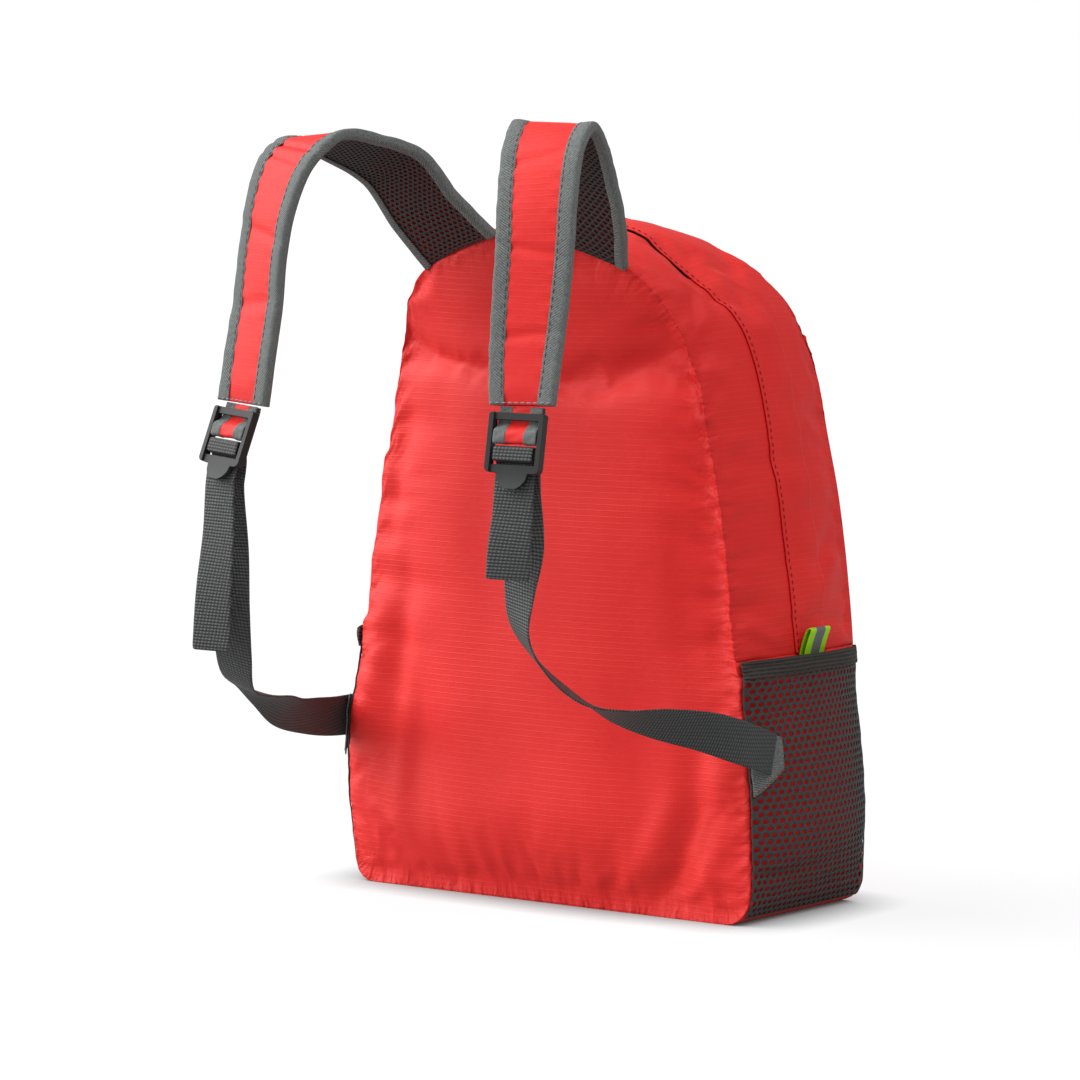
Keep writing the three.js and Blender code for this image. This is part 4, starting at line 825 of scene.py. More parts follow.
zip_sheet = cloth_grid(260, 10, zip_place, lambda u, v: (u * 2 * (HALF_LOOP - RUN_HEM), v * ZIP_WIDTH))
bmesh.ops.recalc_face_normals(zip_sheet, faces=zip_sheet.faces)
faces_toward(zip_sheet, (0, 0, 1))
main_zip_tape = add_object("main_zip_tape", zip_sheet, zip_tape)
finish_with(main_zip_tape, wall=0.001)
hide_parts("main_zip")

# Side pockets: stretch net, knitted with staggered round holes, its foot and sides sewn into the seams.
# The net is pulled in by a ribbed elastic hem, and it bulges below that and creases over its foot.
POCKET_BULGE = 0.013
ELASTIC = 0.010
NET_WALL = 0.0009


def net_yarn(name, light, dark):
    made, tree, shader = new_material(name, light, 0.62, 0.35)
    places = tree.nodes.new("ShaderNodeTexCoord").outputs["Object"]
    knit = noise_of(tree, places, 1100, 2)
    tree.links.new(blend_colours(tree, knit, dark, light), shader.inputs["Base Color"])
    add_bump(tree, shader, knit, 0.0003, 0.7)
    return made


pocket_yarn = net_yarn("pocket_yarn", (0.07, 0.076, 0.074), (0.02, 0.023, 0.023))


def holed_net(name, columns, rows, width, height, strand, place, wall, levels, yarn, toward):
    """Net over a sheet of width by height metres: six-sided cells in staggered rows, each with a hole in it."""
    net = bmesh.new()
    bmesh.ops.create_grid(net, x_segments=2 * columns, y_segments=rows, size=0.5)
    cell = 1 / (2 * columns)
    tier = 1 / rows

    def spare(edge):
        a, b = (v.co for v in edge.verts)
        if abs(a.x - b.x) > cell / 2 or abs(a.x) > 0.5 - cell / 2:
            return False
        return (round((a.x + 0.5) / cell) + math.floor(((a.y + b.y) / 2 + 0.5) / tier)) % 2 == 1

    bmesh.ops.dissolve_edges(net, edges=[e for e in net.edges if spare(e)], use_verts=False)
    for vert in net.verts:
        if abs(vert.co.x) < 0.5 - cell / 2 and abs(vert.co.y) < 0.5 - tier / 2:
            even = (round((vert.co.x + 0.5) / cell) + round((vert.co.y + 0.5) / tier)) % 2 == 0
            vert.co.y += tier * (0.22 if even else -0.22)
    bmesh.ops.scale(net, vec=(width, height, 1), verts=net.verts)
    cells = [f for f in net.faces if len(f.verts) == 6]
    bmesh.ops.inset_individual(net, faces=cells, thickness=strand / 2, use_even_offset=True)
    bmesh.ops.delete(net, geom=cells, context="FACES")
    spots = np.array([v.co[:2] for v in net.verts]) / (width, height) + 0.5
    for vert, p in zip(net.verts, place(spots[:, 0], spots[:, 1])):
        vert.co = p
    faces_toward(net, toward)
    made = add_object(name, net, yarn)
    finish_with(made, wall=wall, offset=0, levels=levels)
    return made


def pocket_lift(run, y):
    depth_share = np.clip((y + BAG_DEPTH / 2) / BAG_DEPTH, 0, 1)
    up_share = (run - RUN_BASE) / (RUN_HEM - RUN_BASE)
    grown = smooth_step(up_share / 0.35)
    drawn = 1 - 0.2 * smooth_step(up_share)
    crease = 0.0022 * np.exp(-((up_share - 0.17 - 0.05 * depth_share) / 0.022) ** 2)
    crease = crease * smooth_step(1.4 - 1.6 * depth_share) * smooth_step(depth_share / 0.15)
    gathers = 0.0006 * np.sin(y * 1100) * smooth_step((up_share - 0.8) / 0.15) * np.sin(np.pi * depth_share)
    full = POCKET_BULGE * np.sin(np.pi * depth_share) ** 0.75 * grown * drawn
    return np.maximum(0.0004 + full - crease + gathers, 0.0003)


def elastic_rib(name, light, dark):
    made, tree, shader = new_material(name, light, 0.7, 0.3)
    along, across = cloth_coordinates(tree)
    ribs = wave_of(tree, across, 0.0021)
    knit = wave_of(tree, along, 0.0007)
    places = tree.nodes.new("ShaderNodeTexCoord").outputs["Object"]
    raised = sum_of(tree, "ADD", sum_of(tree, "MULTIPLY", ribs, 0.45), sum_of(
        tree, "ADD", sum_of(tree, "MULTIPLY", knit, 0.12), noise_of(tree, places, 700, 2)))
    tree.links.new(blend_colours(tree, raised, dark, light), shader.inputs["Base Color"])
    add_bump(tree, shader, raised, 0.0006, 0.8)
    return made


hem_elastic = elastic_rib("hem_elastic", (0.062, 0.052, 0.044), (0.022, 0.019, 0.017))
hem_run = RUN_HEM - ELASTIC
net_edge = BAG_DEPTH / 2 - 0.0008

for side_name, side_sign in (("left", -1), ("right", 1)):
    def net_place(u, v):
        run = RUN_BASE + 0.0004 + v * (hem_run + 0.002 - RUN_BASE)
        y = (2 * u - 1) * net_edge
        return on_gusset(side_sign, run, y, pocket_lift(run, y) + NET_WALL / 2)

    pocket_net = holed_net(f"pocket_net_{side_name}", 23, 36, 2 * net_edge * 1.08, hem_run - RUN_BASE, 0.0015,
                           net_place, NET_WALL, 1, pocket_yarn, (side_sign, 0, 0))
    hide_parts(f"mesh_pocket_{side_name}")

    def hem_place(u, v):
        y = (2 * u - 1) * net_edge
        run = hem_run + v * ELASTIC
        roll = 0.0004 * np.cos((v - 0.5) * math.pi) + 0.0003 * np.abs(np.sin(v * math.pi * 4.5))
        return on_gusset(side_sign, run, y, pocket_lift(np.full_like(run, hem_run), y) + 0.0012 + roll)

    hem_sheet = cloth_grid(40, 12, hem_place, lambda u, v: (u * BAG_DEPTH, v * ELASTIC))
    faces_toward(hem_sheet, (side_sign, 0, 0))
    hem = add_object(f"pocket_hem_{side_name}", hem_sheet, hem_elastic)
    finish_with(hem, wall=0.0018, offset=0, levels=1)
    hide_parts(f"pocket_elastic_{side_name}")
    seam_y = np.linspace(-net_edge + 0.002, net_edge - 0.002, 80)
    hem_seam = on_gusset(side_sign, hem_run + 0.0012, seam_y, pocket_lift(hem_run, seam_y) + 0.0023)
    sew(f"hem_stitches_{side_name}", hem_seam, np.tile([side_sign, 0, 0], (80, 1)), grey_thread)

# Loop tag: neon tape with a grey reflective stripe, folded in two and sewn behind the right-hand hem.
TAG_WIDTH = 0.020
TAG_RISE = 0.015
TAG_TUCK = 0.008


def tag_tape():
    made, tree, shader = new_material("tag_tape", (0.46, 1.0, 0.0), 0.55, 0.4)
    along, across = cloth_coordinates(tree)
    off_middle = sum_of(tree, "ABSOLUTE", across, None)
    edge = sum_of(tree, "GREATER_THAN", off_middle, 0.0046)
    ribs = wave_of(tree, across, 0.0009)
    tone = sum_of(tree, "ADD", sum_of(tree, "MULTIPLY", ribs, 0.5), 0.5)
    neon = blend_colours(tree, tone, (0.22, 0.62, 0.0), (0.52, 1.0, 0.0))
    grey = blend_colours(tree, tone, (0.13, 0.14, 0.14), (0.17, 0.18, 0.18))
    both = tree.nodes.new("ShaderNodeMix")
    both.data_type = "RGBA"
    tree.links.new(edge, both.inputs[0])
    tree.links.new(grey, both.inputs[6])
    tree.links.new(neon, both.inputs[7])
    tree.links.new(both.outputs[2], shader.inputs["Base Color"])
    add_bump(tree, shader, ribs, 0.0001, 0.6)
    return made


TAG_FOLD = 0.0024
TAG_WALL = 0.001
tag_root = RUN_HEM - TAG_TUCK
tag_leg = TAG_TUCK + TAG_RISE - TAG_WALL - TAG_FOLD / 2


def tag_place(u, v):
    """Tape folded in two: v runs up one leg, round the fold and down the other."""
    bend = math.pi * (TAG_FOLD + TAG_WALL) / 2
    total = 2 * tag_leg + bend
    s = v * total
    turn = np.clip((s - tag_leg) / bend, 0, 1) * math.pi
    up = np.where(s < tag_leg, s, np.where(s > tag_leg + bend, total - s, tag_leg))
    up = up + (TAG_FOLD + TAG_WALL) / 2 * np.sin(turn)
    out = 0.0005 + TAG_WALL + TAG_FOLD / 2 - (TAG_FOLD + TAG_WALL) / 2 * np.cos(turn)
    base = on_gusset(1, np.full_like(u, tag_root), (u - 0.5) * TAG_WIDTH, out)
    base[:, 0] += 0.005 * (up / (TAG_TUCK + TAG_RISE)) ** 2
    base[:, 1] += 0.0015 * np.maximum(up - TAG_TUCK, 0) / TAG_RISE
    base[:, 2] += up
    return base


tag_sheet = cloth_grid(12, 40, tag_place, lambda u, v: (v * 0.05, (u - 0.5) * TAG_WIDTH))
bmesh.ops.recalc_face_normals(tag_sheet, faces=tag_sheet.faces)
tag = add_object("neon_loop", tag_sheet, tag_tape())
finish_with(tag, wall=TAG_WALL, offset=0, levels=1)
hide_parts("loop_tag")

# Front pocket: a shaped patch of the red cloth on the front panel, sewn down at its sides and foot.
# An inverted-U zip runs round its top, twill tape with a nylon coil, and its slider hangs at the left.
POCKET_HEIGHT = 0.194
POCKET_INSET = 0.007
POCKET_CORNER = 0.042
POCKET_PUFF = 0.015
POCKET_FOOT = 0.0064
FRONT_ZIP = 0.008
FRONT_ZIP_RAISED = 0.005
ZIP_LEG_END = 0.122
ZIP_TAPER = 0.014


def front_face(x, z):
    return BAG_DEPTH / 2 + FRONT_DOME * dome_share(x, z)


front_now = KDTree(len(sewn))
for i, p in enumerate(filled):
    front_now.insert((p[0], 0, p[2]) if on_front[i] else (0, 9, 0), i)
front_now.balance()


def front_moved(x, z):
    """How far the filled front panel stands out past its plain surface."""
    made = []
    for px, pz in zip(np.ravel(x), np.ravel(z)):
        near = front_now.find_n((px, 0, pz), 4)
        weights = np.array([1 / (n[2] + 1e-4) for n in near])
        made.append(float(weights @ [filled[n[1]][1] - front_face(filled[n[1]][0], filled[n[1]][2]) for n in near]
                          / weights.sum()))
    return np.array(made).reshape(np.shape(x))


def pocket_half(z, inset):
    corner_foot = POCKET_HEIGHT - POCKET_CORNER
    side = half_width_at(z) - POCKET_INSET
    rise = np.clip(z - corner_foot, 0, POCKET_CORNER)
    return side - (POCKET_CORNER - np.sqrt(np.maximum(POCKET_CORNER ** 2 - rise ** 2, 0))) - inset


def zip_share(z):
    return smooth_step((z - ZIP_LEG_END) / ZIP_TAPER)


def pocket_place(u, v):
    top = POCKET_HEIGHT - FRONT_ZIP - 0.0004
    z = POCKET_FOOT + (top - POCKET_FOOT) * np.sin(v * math.pi / 2) ** 1.15
    scale = (POCKET_HEIGHT - POCKET_FOOT) / (top - POCKET_FOOT)
    x = (2 * u - 1) * (pocket_half(POCKET_FOOT + (z - POCKET_FOOT) * scale, 0) - (FRONT_ZIP + 0.0004) * zip_share(z))
    full = (1 - np.abs(2 * u - 1) ** 3) * np.sin(np.pi * np.clip((z - POCKET_FOOT) / (top - POCKET_FOOT), 0, 1) ** 0.8)
    folds = 0.0011 * np.sin(x * 88 + 9 * np.sin(z * 31)) * np.sin(z * 47 + x * 21) * full
    puckers = 0.0006 * np.sin(x * 520) * np.exp(-((top - z) / 0.016)) * zip_share(z)
    edge = FRONT_ZIP_RAISED * zip_share(z) * v
    y = front_face(x, z) + np.maximum(front_moved(x, z), 0) + 0.0006 + POCKET_PUFF * full + folds + puckers + edge
    return np.stack([x, y + CLOTH, z], -1)


pocket_sheet = cloth_grid(60, 50, pocket_place, lambda u, v: (u * BAG_WIDTH, v * POCKET_HEIGHT))
faces_toward(pocket_sheet, (0, 1, 0))
front_pocket = add_object("front_pocket_cloth", pocket_sheet, ripstop)
finish_with(front_pocket, wall=0.0012, levels=1)
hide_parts("front_pocket")


def front_zip_line(t, inward):
    """Place on the front panel, t from 0 to 1 round the zip from its left foot, inward from its outer edge."""
    corner_foot = POCKET_HEIGHT - POCKET_CORNER
    leg = corner_foot - ZIP_LEG_END
    arc = math.pi / 2 * POCKET_CORNER
    flat = float(half_width_at(np.array(corner_foot))) - POCKET_INSET - POCKET_CORNER
    half = leg + arc + flat
    side = np.where(t < 0.5, -1, 1)
    s = half * (1 - np.abs(2 * t - 1))
    turn = np.clip((s - leg) / arc, 0, 1) * math.pi / 2
    reach = POCKET_CORNER - inward
    z = np.where(s < leg, ZIP_LEG_END + s, corner_foot + reach * np.sin(turn))
    x = np.where(s < leg, half_width_at(np.minimum(z, corner_foot)) - POCKET_INSET - inward,
                 np.where(s < leg + arc, flat + reach * np.cos(turn), half - s))
    return side * x, z


def front_zip_place(t, v):
    inward = v * FRONT_ZIP * (0.25 + 0.75 * smooth_step(np.minimum(t, 1 - t) / 0.05))
    x, z = front_zip_line(t, inward)
    rise = FRONT_ZIP_RAISED * v * zip_share(z)
    coil = 0.0007 * np.exp(-((v - 0.5) / 0.14) ** 2)
    y = front_face(x, z) + np.maximum(front_moved(x, z), 0) + 0.0012 + rise + coil
    return np.stack([x, y, z], -1)


front_zip_sheet = cloth_grid(130, 8, front_zip_place, lambda u, v: (u * 0.46, v * FRONT_ZIP))
faces_toward(front_zip_sheet, (0, 1, 0))
front_zip = add_object("front_zip_tape", front_zip_sheet, zip_tape)
finish_with(front_zip, wall=0.001, levels=1)
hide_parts("front_pocket_zip")
coil_t = np.linspace(0.02, 0.98, 300)
coil_line = front_zip_place(coil_t, np.full_like(coil_t, 0.5))
coil = sew("front_zip_coil", coil_line, np.tile([0, 1, 0], (300, 1)), grey_thread, 0.0012, 0.0004, 0.0006)

# Slider of the front zip: a small moulded body on the coil, with a flat pull that hangs over the pocket.
moulded, moulded_tree, moulded_shader = new_material("moulded_plastic", (0.016, 0.017, 0.017), 0.45, 0.3)
moulded_places = moulded_tree.nodes.new("ShaderNodeTexCoord").outputs["Object"]
moulded_grain = noise_of(moulded_tree, moulded_places, 1300, 3)
moulded_tree.links.new(blend_colours(moulded_tree, noise_of(moulded_tree, moulded_places, 60, 3),
                                     (0.012, 0.013, 0.013), (0.020, 0.022, 0.021)), moulded_shader.inputs["Base Color"])
add_bump(moulded_tree, moulded_shader, moulded_grain, 0.00012, 0.5)


def moulded_block(mesh, size, middle):
    made = bmesh.ops.create_cube(mesh, size=1)["verts"]
    bmesh.ops.scale(mesh, vec=size, verts=made)
    bmesh.ops.translate(mesh, vec=middle, verts=made)
    return made


slider_low, slider_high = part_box("front_zip_slider")
slider_mesh = bmesh.new()
slider_top = slider_high.z
moulded_block(slider_mesh, (0.0105, 0.0032, 0.0068), (-0.078, slider_high.y - 0.0040, slider_top - 0.0045))
moulded_block(slider_mesh, (0.0035, 0.0016, 0.0062), (-0.078, slider_high.y - 0.0018, slider_top - 0.0048))
moulded_block(slider_mesh, (0.0050, 0.0013, 0.0180), (-0.078, slider_high.y - 0.0011, slider_top - 0.0130))
slider = add_object("front_slider", slider_mesh, moulded)
finish_with(slider, bevel=0.0005)
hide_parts("front_zip_slider")

# Shoulder straps: each a strip of red cloth over thin padding, with a knitted lining underneath,
# and a twill tape folded over both long edges and sewn down with one row of stitches.
STRAP_ROOT = {"left": 0.046, "right": 0.042}
STRAP_WIDTH = 0.060
STRAP_SPREAD, STRAP_REACH, STRAP_RISE = 0.055, 0.130, 0.068
STRAP_THICK = 0.00615
BINDING_WIDTH = 0.010
BINDING_UNDER = 0.006

strap_rows = {
    "right": [
        (0, 0, 0, 11, -20, 0.95), (0.253, 0.153, 0.356, 8, -17, 0.97), (0.391, 0.276, 0.688, 7, -12, 0.93),
        (0.557, 0.438, 0.931, 9, -6, 0.885), (0.755, 0.616, 1.02, 11, -1, 0.84), (0.906, 0.773, 0.831, 12, 3, 0.82),
        (1.006, 0.866, 0.462, 14, 5, 0.79), (1.055, 0.913, 0.04, 16, 4, 0.762), (1.06, 0.945, -0.382, 16, 3, 0.743),
        (1.062, 0.978, -0.793, 13, 2, 0.718), (1.08, 1.01, -1.19, 9, 2, 0.67),
    ],
    "left": [
        (0, 0, 0, 11, -20, 1.0), (0.182, 0.162, 0.34, 12, -18, 0.963), (0.313, 0.296, 0.671, 10, -17, 0.942),
        (0.487, 0.481, 0.841, 8, -11, 0.907), (0.676, 0.667, 0.926, 9, -4, 0.88), (0.769, 0.809, 0.75, 13, 2, 0.818),
        (0.84, 0.883, 0.394, 17, 4, 0.792), (0.887, 0.918, -0.019, 18, 4, 0.768), (0.916, 0.939, -0.435, 15, 4, 0.742),
        (0.958, 0.97, -0.85, 11, 3, 0.703), (0.998, 0.998, -1.27, 8, 2, 0.678),
    ],
}


def through_rows(rows, t):
    """Rows blended smoothly, evenly spaced for t from 0 to 1."""
    rows = np.array(rows, float)
    place = np.clip(t, 0, 1) * (len(rows) - 1)
    i = np.minimum(place.astype(int), len(rows) - 2)
    s = (place - i)[:, None]
    a, b, c, d = rows[np.maximum(i - 1, 0)], rows[i], rows[i + 1], rows[np.minimum(i + 2, len(rows) - 1)]
    return 0.5 * (2 * b + (c - a) * s + (2 * a - 5 * b + 4 * c - d) * s ** 2 + (3 * b - a - 3 * c + d) * s ** 3)


def unit(v):
    return v / np.linalg.norm(v, axis=-1, keepdims=True)


def arch_seam(side, x):
    """Point of the back seam at x metres from the middle, on the side given."""
    runs = np.linspace(RUN_SHOULDER * 0.8, HALF_LOOP, 400)
    xs, zs, _, _ = outline_at(1, runs)
    z = np.interp(x, xs[::-1], zs[::-1])
    return np.stack([side * x, -BAG_DEPTH / 2 + lean_at(z), z], -1)


STRAP_STEPS = 150
strap_lines = {}
for side_name, side_sign in (("left", -1), ("right", 1)):
    rows = through_rows(strap_rows[side_name], np.linspace(0, 1, STRAP_STEPS + 1))
    root_out = STRAP_ROOT[side_name]
    root = arch_seam(side_sign, np.array(root_out))
    middle = root + np.stack([side_sign * rows[:, 0] * STRAP_SPREAD, -rows[:, 1] * STRAP_REACH,
                              rows[:, 2] * STRAP_RISE], -1)
    along = unit(np.gradient(middle, axis=0))
    yaw, tilt = (np.radians(rows[:, k]) * side_sign for k in (3, 4))
    across = np.stack([np.cos(tilt) * np.cos(yaw), np.cos(tilt) * np.sin(yaw), np.sin(tilt)], -1)
    seam_reach = STRAP_WIDTH / 2 - 0.002
    seam_across = unit(arch_seam(side_sign, np.array(root_out + seam_reach))
                       - arch_seam(side_sign, np.array(root_out - seam_reach))) * side_sign
    share = np.clip(1 - np.arange(STRAP_STEPS + 1) / (STRAP_STEPS / 20), 0, 1)[:, None]
    across = across * (1 - share) + seam_across * share
    across = unit(across - along * np.sum(across * along, -1, keepdims=True))
    strap_lines[side_name] = {
        "side": side_sign, "root_out": root_out, "root": root, "middle": middle, "along": along, "across": across,
        "normal": np.cross(along, across), "width": rows[:, 5] * STRAP_WIDTH,
        "run": np.concatenate([[0], np.cumsum(np.linalg.norm(np.diff(middle, axis=0), axis=1))]),
    }


def on_strap(line, v, a, b):
    """Point on a strap: v from its root to its end, a metres across from its middle, b above its middle ply."""
    v, a, b = np.broadcast_arrays(v, a, b)
    step = np.clip(v, 0, 1) * STRAP_STEPS

    def at(key):
        return np.stack([np.interp(step, np.arange(STRAP_STEPS + 1), line[key][:, k]) for k in range(3)], -1)

    middle, across, normal, along = at("middle"), unit(at("across")), unit(at("normal")), at("along")
    straight = middle + across * a[..., None]
    seated = np.maximum(1 - step / (0.2 * STRAP_STEPS), 0)[..., None]
    seam = arch_seam(line["side"], np.maximum(line["root_out"] + line["side"] * a, 0)) - line["root"]
    bowed = middle + seam + along * 0.00045
    return straight * (1 - seated) + bowed * seated + normal * b[..., None]


def strap_half(line, v):
    return np.interp(v * STRAP_STEPS, np.arange(STRAP_STEPS + 1), line["width"]) / 2


strap_creases = {
    "left": [(0.30, 0.012, 0.0010), (0.46, 0.006, 0.0022), (0.50, 0.006, 0.0012), (0.66, 0.010, 0.0012),
             (0.80, 0.014, 0.0009)],
    "right": [(0.35, 0.012, 0.0008), (0.52, 0.012, 0.0010), (0.70, 0.009, 0.0012), (0.86, 0.010, 0.0011)],
}


def strap_fold(side_name, v, t):
    """Depth of the creases that run across a strap where it bends; t is from -1 to 1 across it."""
    depth = 0
    for place, wide, deep in strap_creases[side_name]:
        slant = place + 0.012 * t * (1 if deep > 0.0011 else -1)
        depth = depth + deep * np.exp(-((v - slant) / wide) ** 2)
    return depth


strap_net = net_yarn("strap_net", (0.050, 0.050, 0.047), (0.014, 0.014, 0.013))

for side_name, line in strap_lines.items():
    length = line["run"][-1]

    def cover_place(u, v):
        t = 2 * u - 1
        half = strap_half(line, v) - 0.0014
        crown = 0.0013 * (1 - np.abs(t) ** 2.5) * smooth_step(np.minimum(v, 1 - v) / 0.05)
        ruck = 0.0004 * np.sin(v * length * 560 + 5 * np.sin(v * 9)) * np.exp(-((np.abs(t) - 0.7) / 0.18) ** 2)
        b = 0.00155 + crown + ruck - strap_fold(side_name, v, t) * (1 - t ** 6)
        return on_strap(line, v, t * half, b)

    cover_sheet = cloth_grid(16, 150, cover_place, lambda u, v: ((u - 0.5) * STRAP_WIDTH, v * length))
    bmesh.ops.recalc_face_normals(cover_sheet, faces=cover_sheet.faces)
    faces_toward(cover_sheet, line["normal"].mean(axis=0))
    cover = add_object(f"strap_cloth_{side_name}", cover_sheet, ripstop)
    finish_with(cover, wall=0.0012, levels=1)
    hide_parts(f"strap_cover_{side_name}")

    def lining_place(u, v):
        t = 2 * u - 1
        crown = 0.0006 * (1 - t ** 2)
        return on_strap(line, v, t * (strap_half(line, v) - 0.0012), -0.0016 - crown)

    lining = holed_net(f"strap_lining_{side_name}", 14, 112, STRAP_WIDTH * 0.93, length, 0.0013,
                       lining_place, 0.0008, 0, strap_net, -line["normal"].mean(axis=0))
    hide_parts(f"strap_mesh_{side_name}")

    def backing_place(u, v):
        return on_strap(line, v, (2 * u - 1) * (strap_half(line, v) - 0.0016), -0.0010)

    backing_sheet = cloth_grid(8, 110, backing_place, lambda u, v: ((u - 0.5) * STRAP_WIDTH, v * length))
    faces_toward(backing_sheet, -line["normal"].mean(axis=0))
    backing = add_object(f"strap_backing_{side_name}", backing_sheet, ripstop)
    finish_with(backing, wall=0.0006)

    edge_path = smooth_line(np.array([
        (BINDING_WIDTH, 0.0026), (0.007, 0.0028), (0.0035, 0.0029), (0.0014, 0.0027), (0.0005, 0.0018), (0.0003, 0),
        (0.0005, -0.0018), (0.0014, -0.0026), (0.003, -0.0028), (BINDING_UNDER, -0.0027)]), 3)
    for place_name, sign in (("inner", -line["side"]), ("outer", line["side"])):
        def binding_place(u, v):
            inward, b = (np.interp(u * (len(edge_path) - 1), np.arange(len(edge_path)), edge_path[:, k]) for k in (0, 1))
            drawn = 0.0002 * np.sin(v * length * 330 + sign) + 0.00012 * np.sin(v * length * 720)
            sunk = 0.0004 * np.exp(-((inward - 0.0085) / 0.0012) ** 2) * (b > 0)
            fold = strap_fold(side_name, v, np.full_like(v, float(sign))) * 0.5 * np.where(b > 0, 1, 0)
            half = strap_half(line, v) + drawn * 0.6
            return on_strap(line, v, sign * (half - inward), b - sunk - fold + drawn * 0.3)

        binding_sheet = cloth_grid(15, 150, binding_place, lambda u, v: (v * length, u * 0.02))
        bmesh.ops.recalc_face_normals(binding_sheet, faces=binding_sheet.faces)
        outward = line["across"].mean(axis=0) * sign
        faces_toward(binding_sheet, line["normal"].mean(axis=0) * 0.7 + outward)
        binding = add_object(f"strap_edge_{place_name}_{side_name}", binding_sheet, binding_tape)
        finish_with(binding, wall=0.0008, offset=0, levels=1)
        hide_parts(f"strap_binding_{place_name}_{side_name}")
        row_v = np.linspace(0.01, 0.985, 200)
        row_fold = strap_fold(side_name, row_v, np.full_like(row_v, float(sign))) * 0.5
        row = on_strap(line, row_v, sign * (strap_half(line, row_v) - 0.0085), 0.0027 - row_fold)
        ups = np.stack([np.interp(row_v * STRAP_STEPS, np.arange(STRAP_STEPS + 1), line["normal"][:, k])
                        for k in range(3)], -1)
        sew(f"strap_stitches_{place_name}_{side_name}", row, ups, grey_thread, 0.0030, 0.0014, 0.00034)

    # A row of pale bar tack across the strap's end, where it is folded in above its buckle.
    tack_t = np.linspace(-1, 1, 60)
    tack_v = 0.992 + 0.0011 * np.sin(tack_t * 31)
    tack = on_strap(line, tack_v, tack_t * (strap_half(line, tack_v) - 0.0006), 0.0033)
    sew(f"bar_tack_{side_name}", tack, np.tile(line["normal"][-1], (60, 1)), pale_thread, 0.0032, 0.0008, 0.00045)

# Ladder-lock buckles: moulded black frames with three bars and a thumb tab, one hanging from each strap.
# Each is one moulding: a plate with three slots, its side rails thicker than its bars, all edges rounded.
BUCKLE_WIDTH = 0.034
RAIL = 0.003
RAIL_DEPTH = 0.0052
BAR_DEPTH = 0.0026
BAR_TOPS = (0.0, 0.004, 0.0123, 0.0155, 0.020, 0.025, 0.0285, 0.033)
TAB_HALF, TAB_LONG = 0.0095, 0.0095
buckle_hang = {"right": (11, 1, 9), "left": (19, 7, 7)}
buckle_frames = {}
for side_name, line in strap_lines.items():
    forward, outward, yaw = (math.radians(a) for a in buckle_hang[side_name])
    down = unit(np.array([line["side"] * math.tan(outward), -math.tan(forward), -1.0]))
    yaw = yaw * line["side"]
    level = np.array([math.cos(yaw), math.sin(yaw), 0.0])
    level = unit(level - down * (level @ down))
    facing = np.cross(down, level)
    origin = line["middle"][-1] + down * 0.0045 + facing * 0.003
    buckle_frames[side_name] = (origin, level, down, facing)


def on_buckle(side_name, a, t, n):
    """Point in a buckle's own frame: a metres across, t down from its upper edge, n out of its front."""
    origin, level, down, facing = buckle_frames[side_name]
    a, t, n = (np.asarray(q, float)[..., None] for q in (a, t, n))
    return origin + level * a + down * t + facing * n


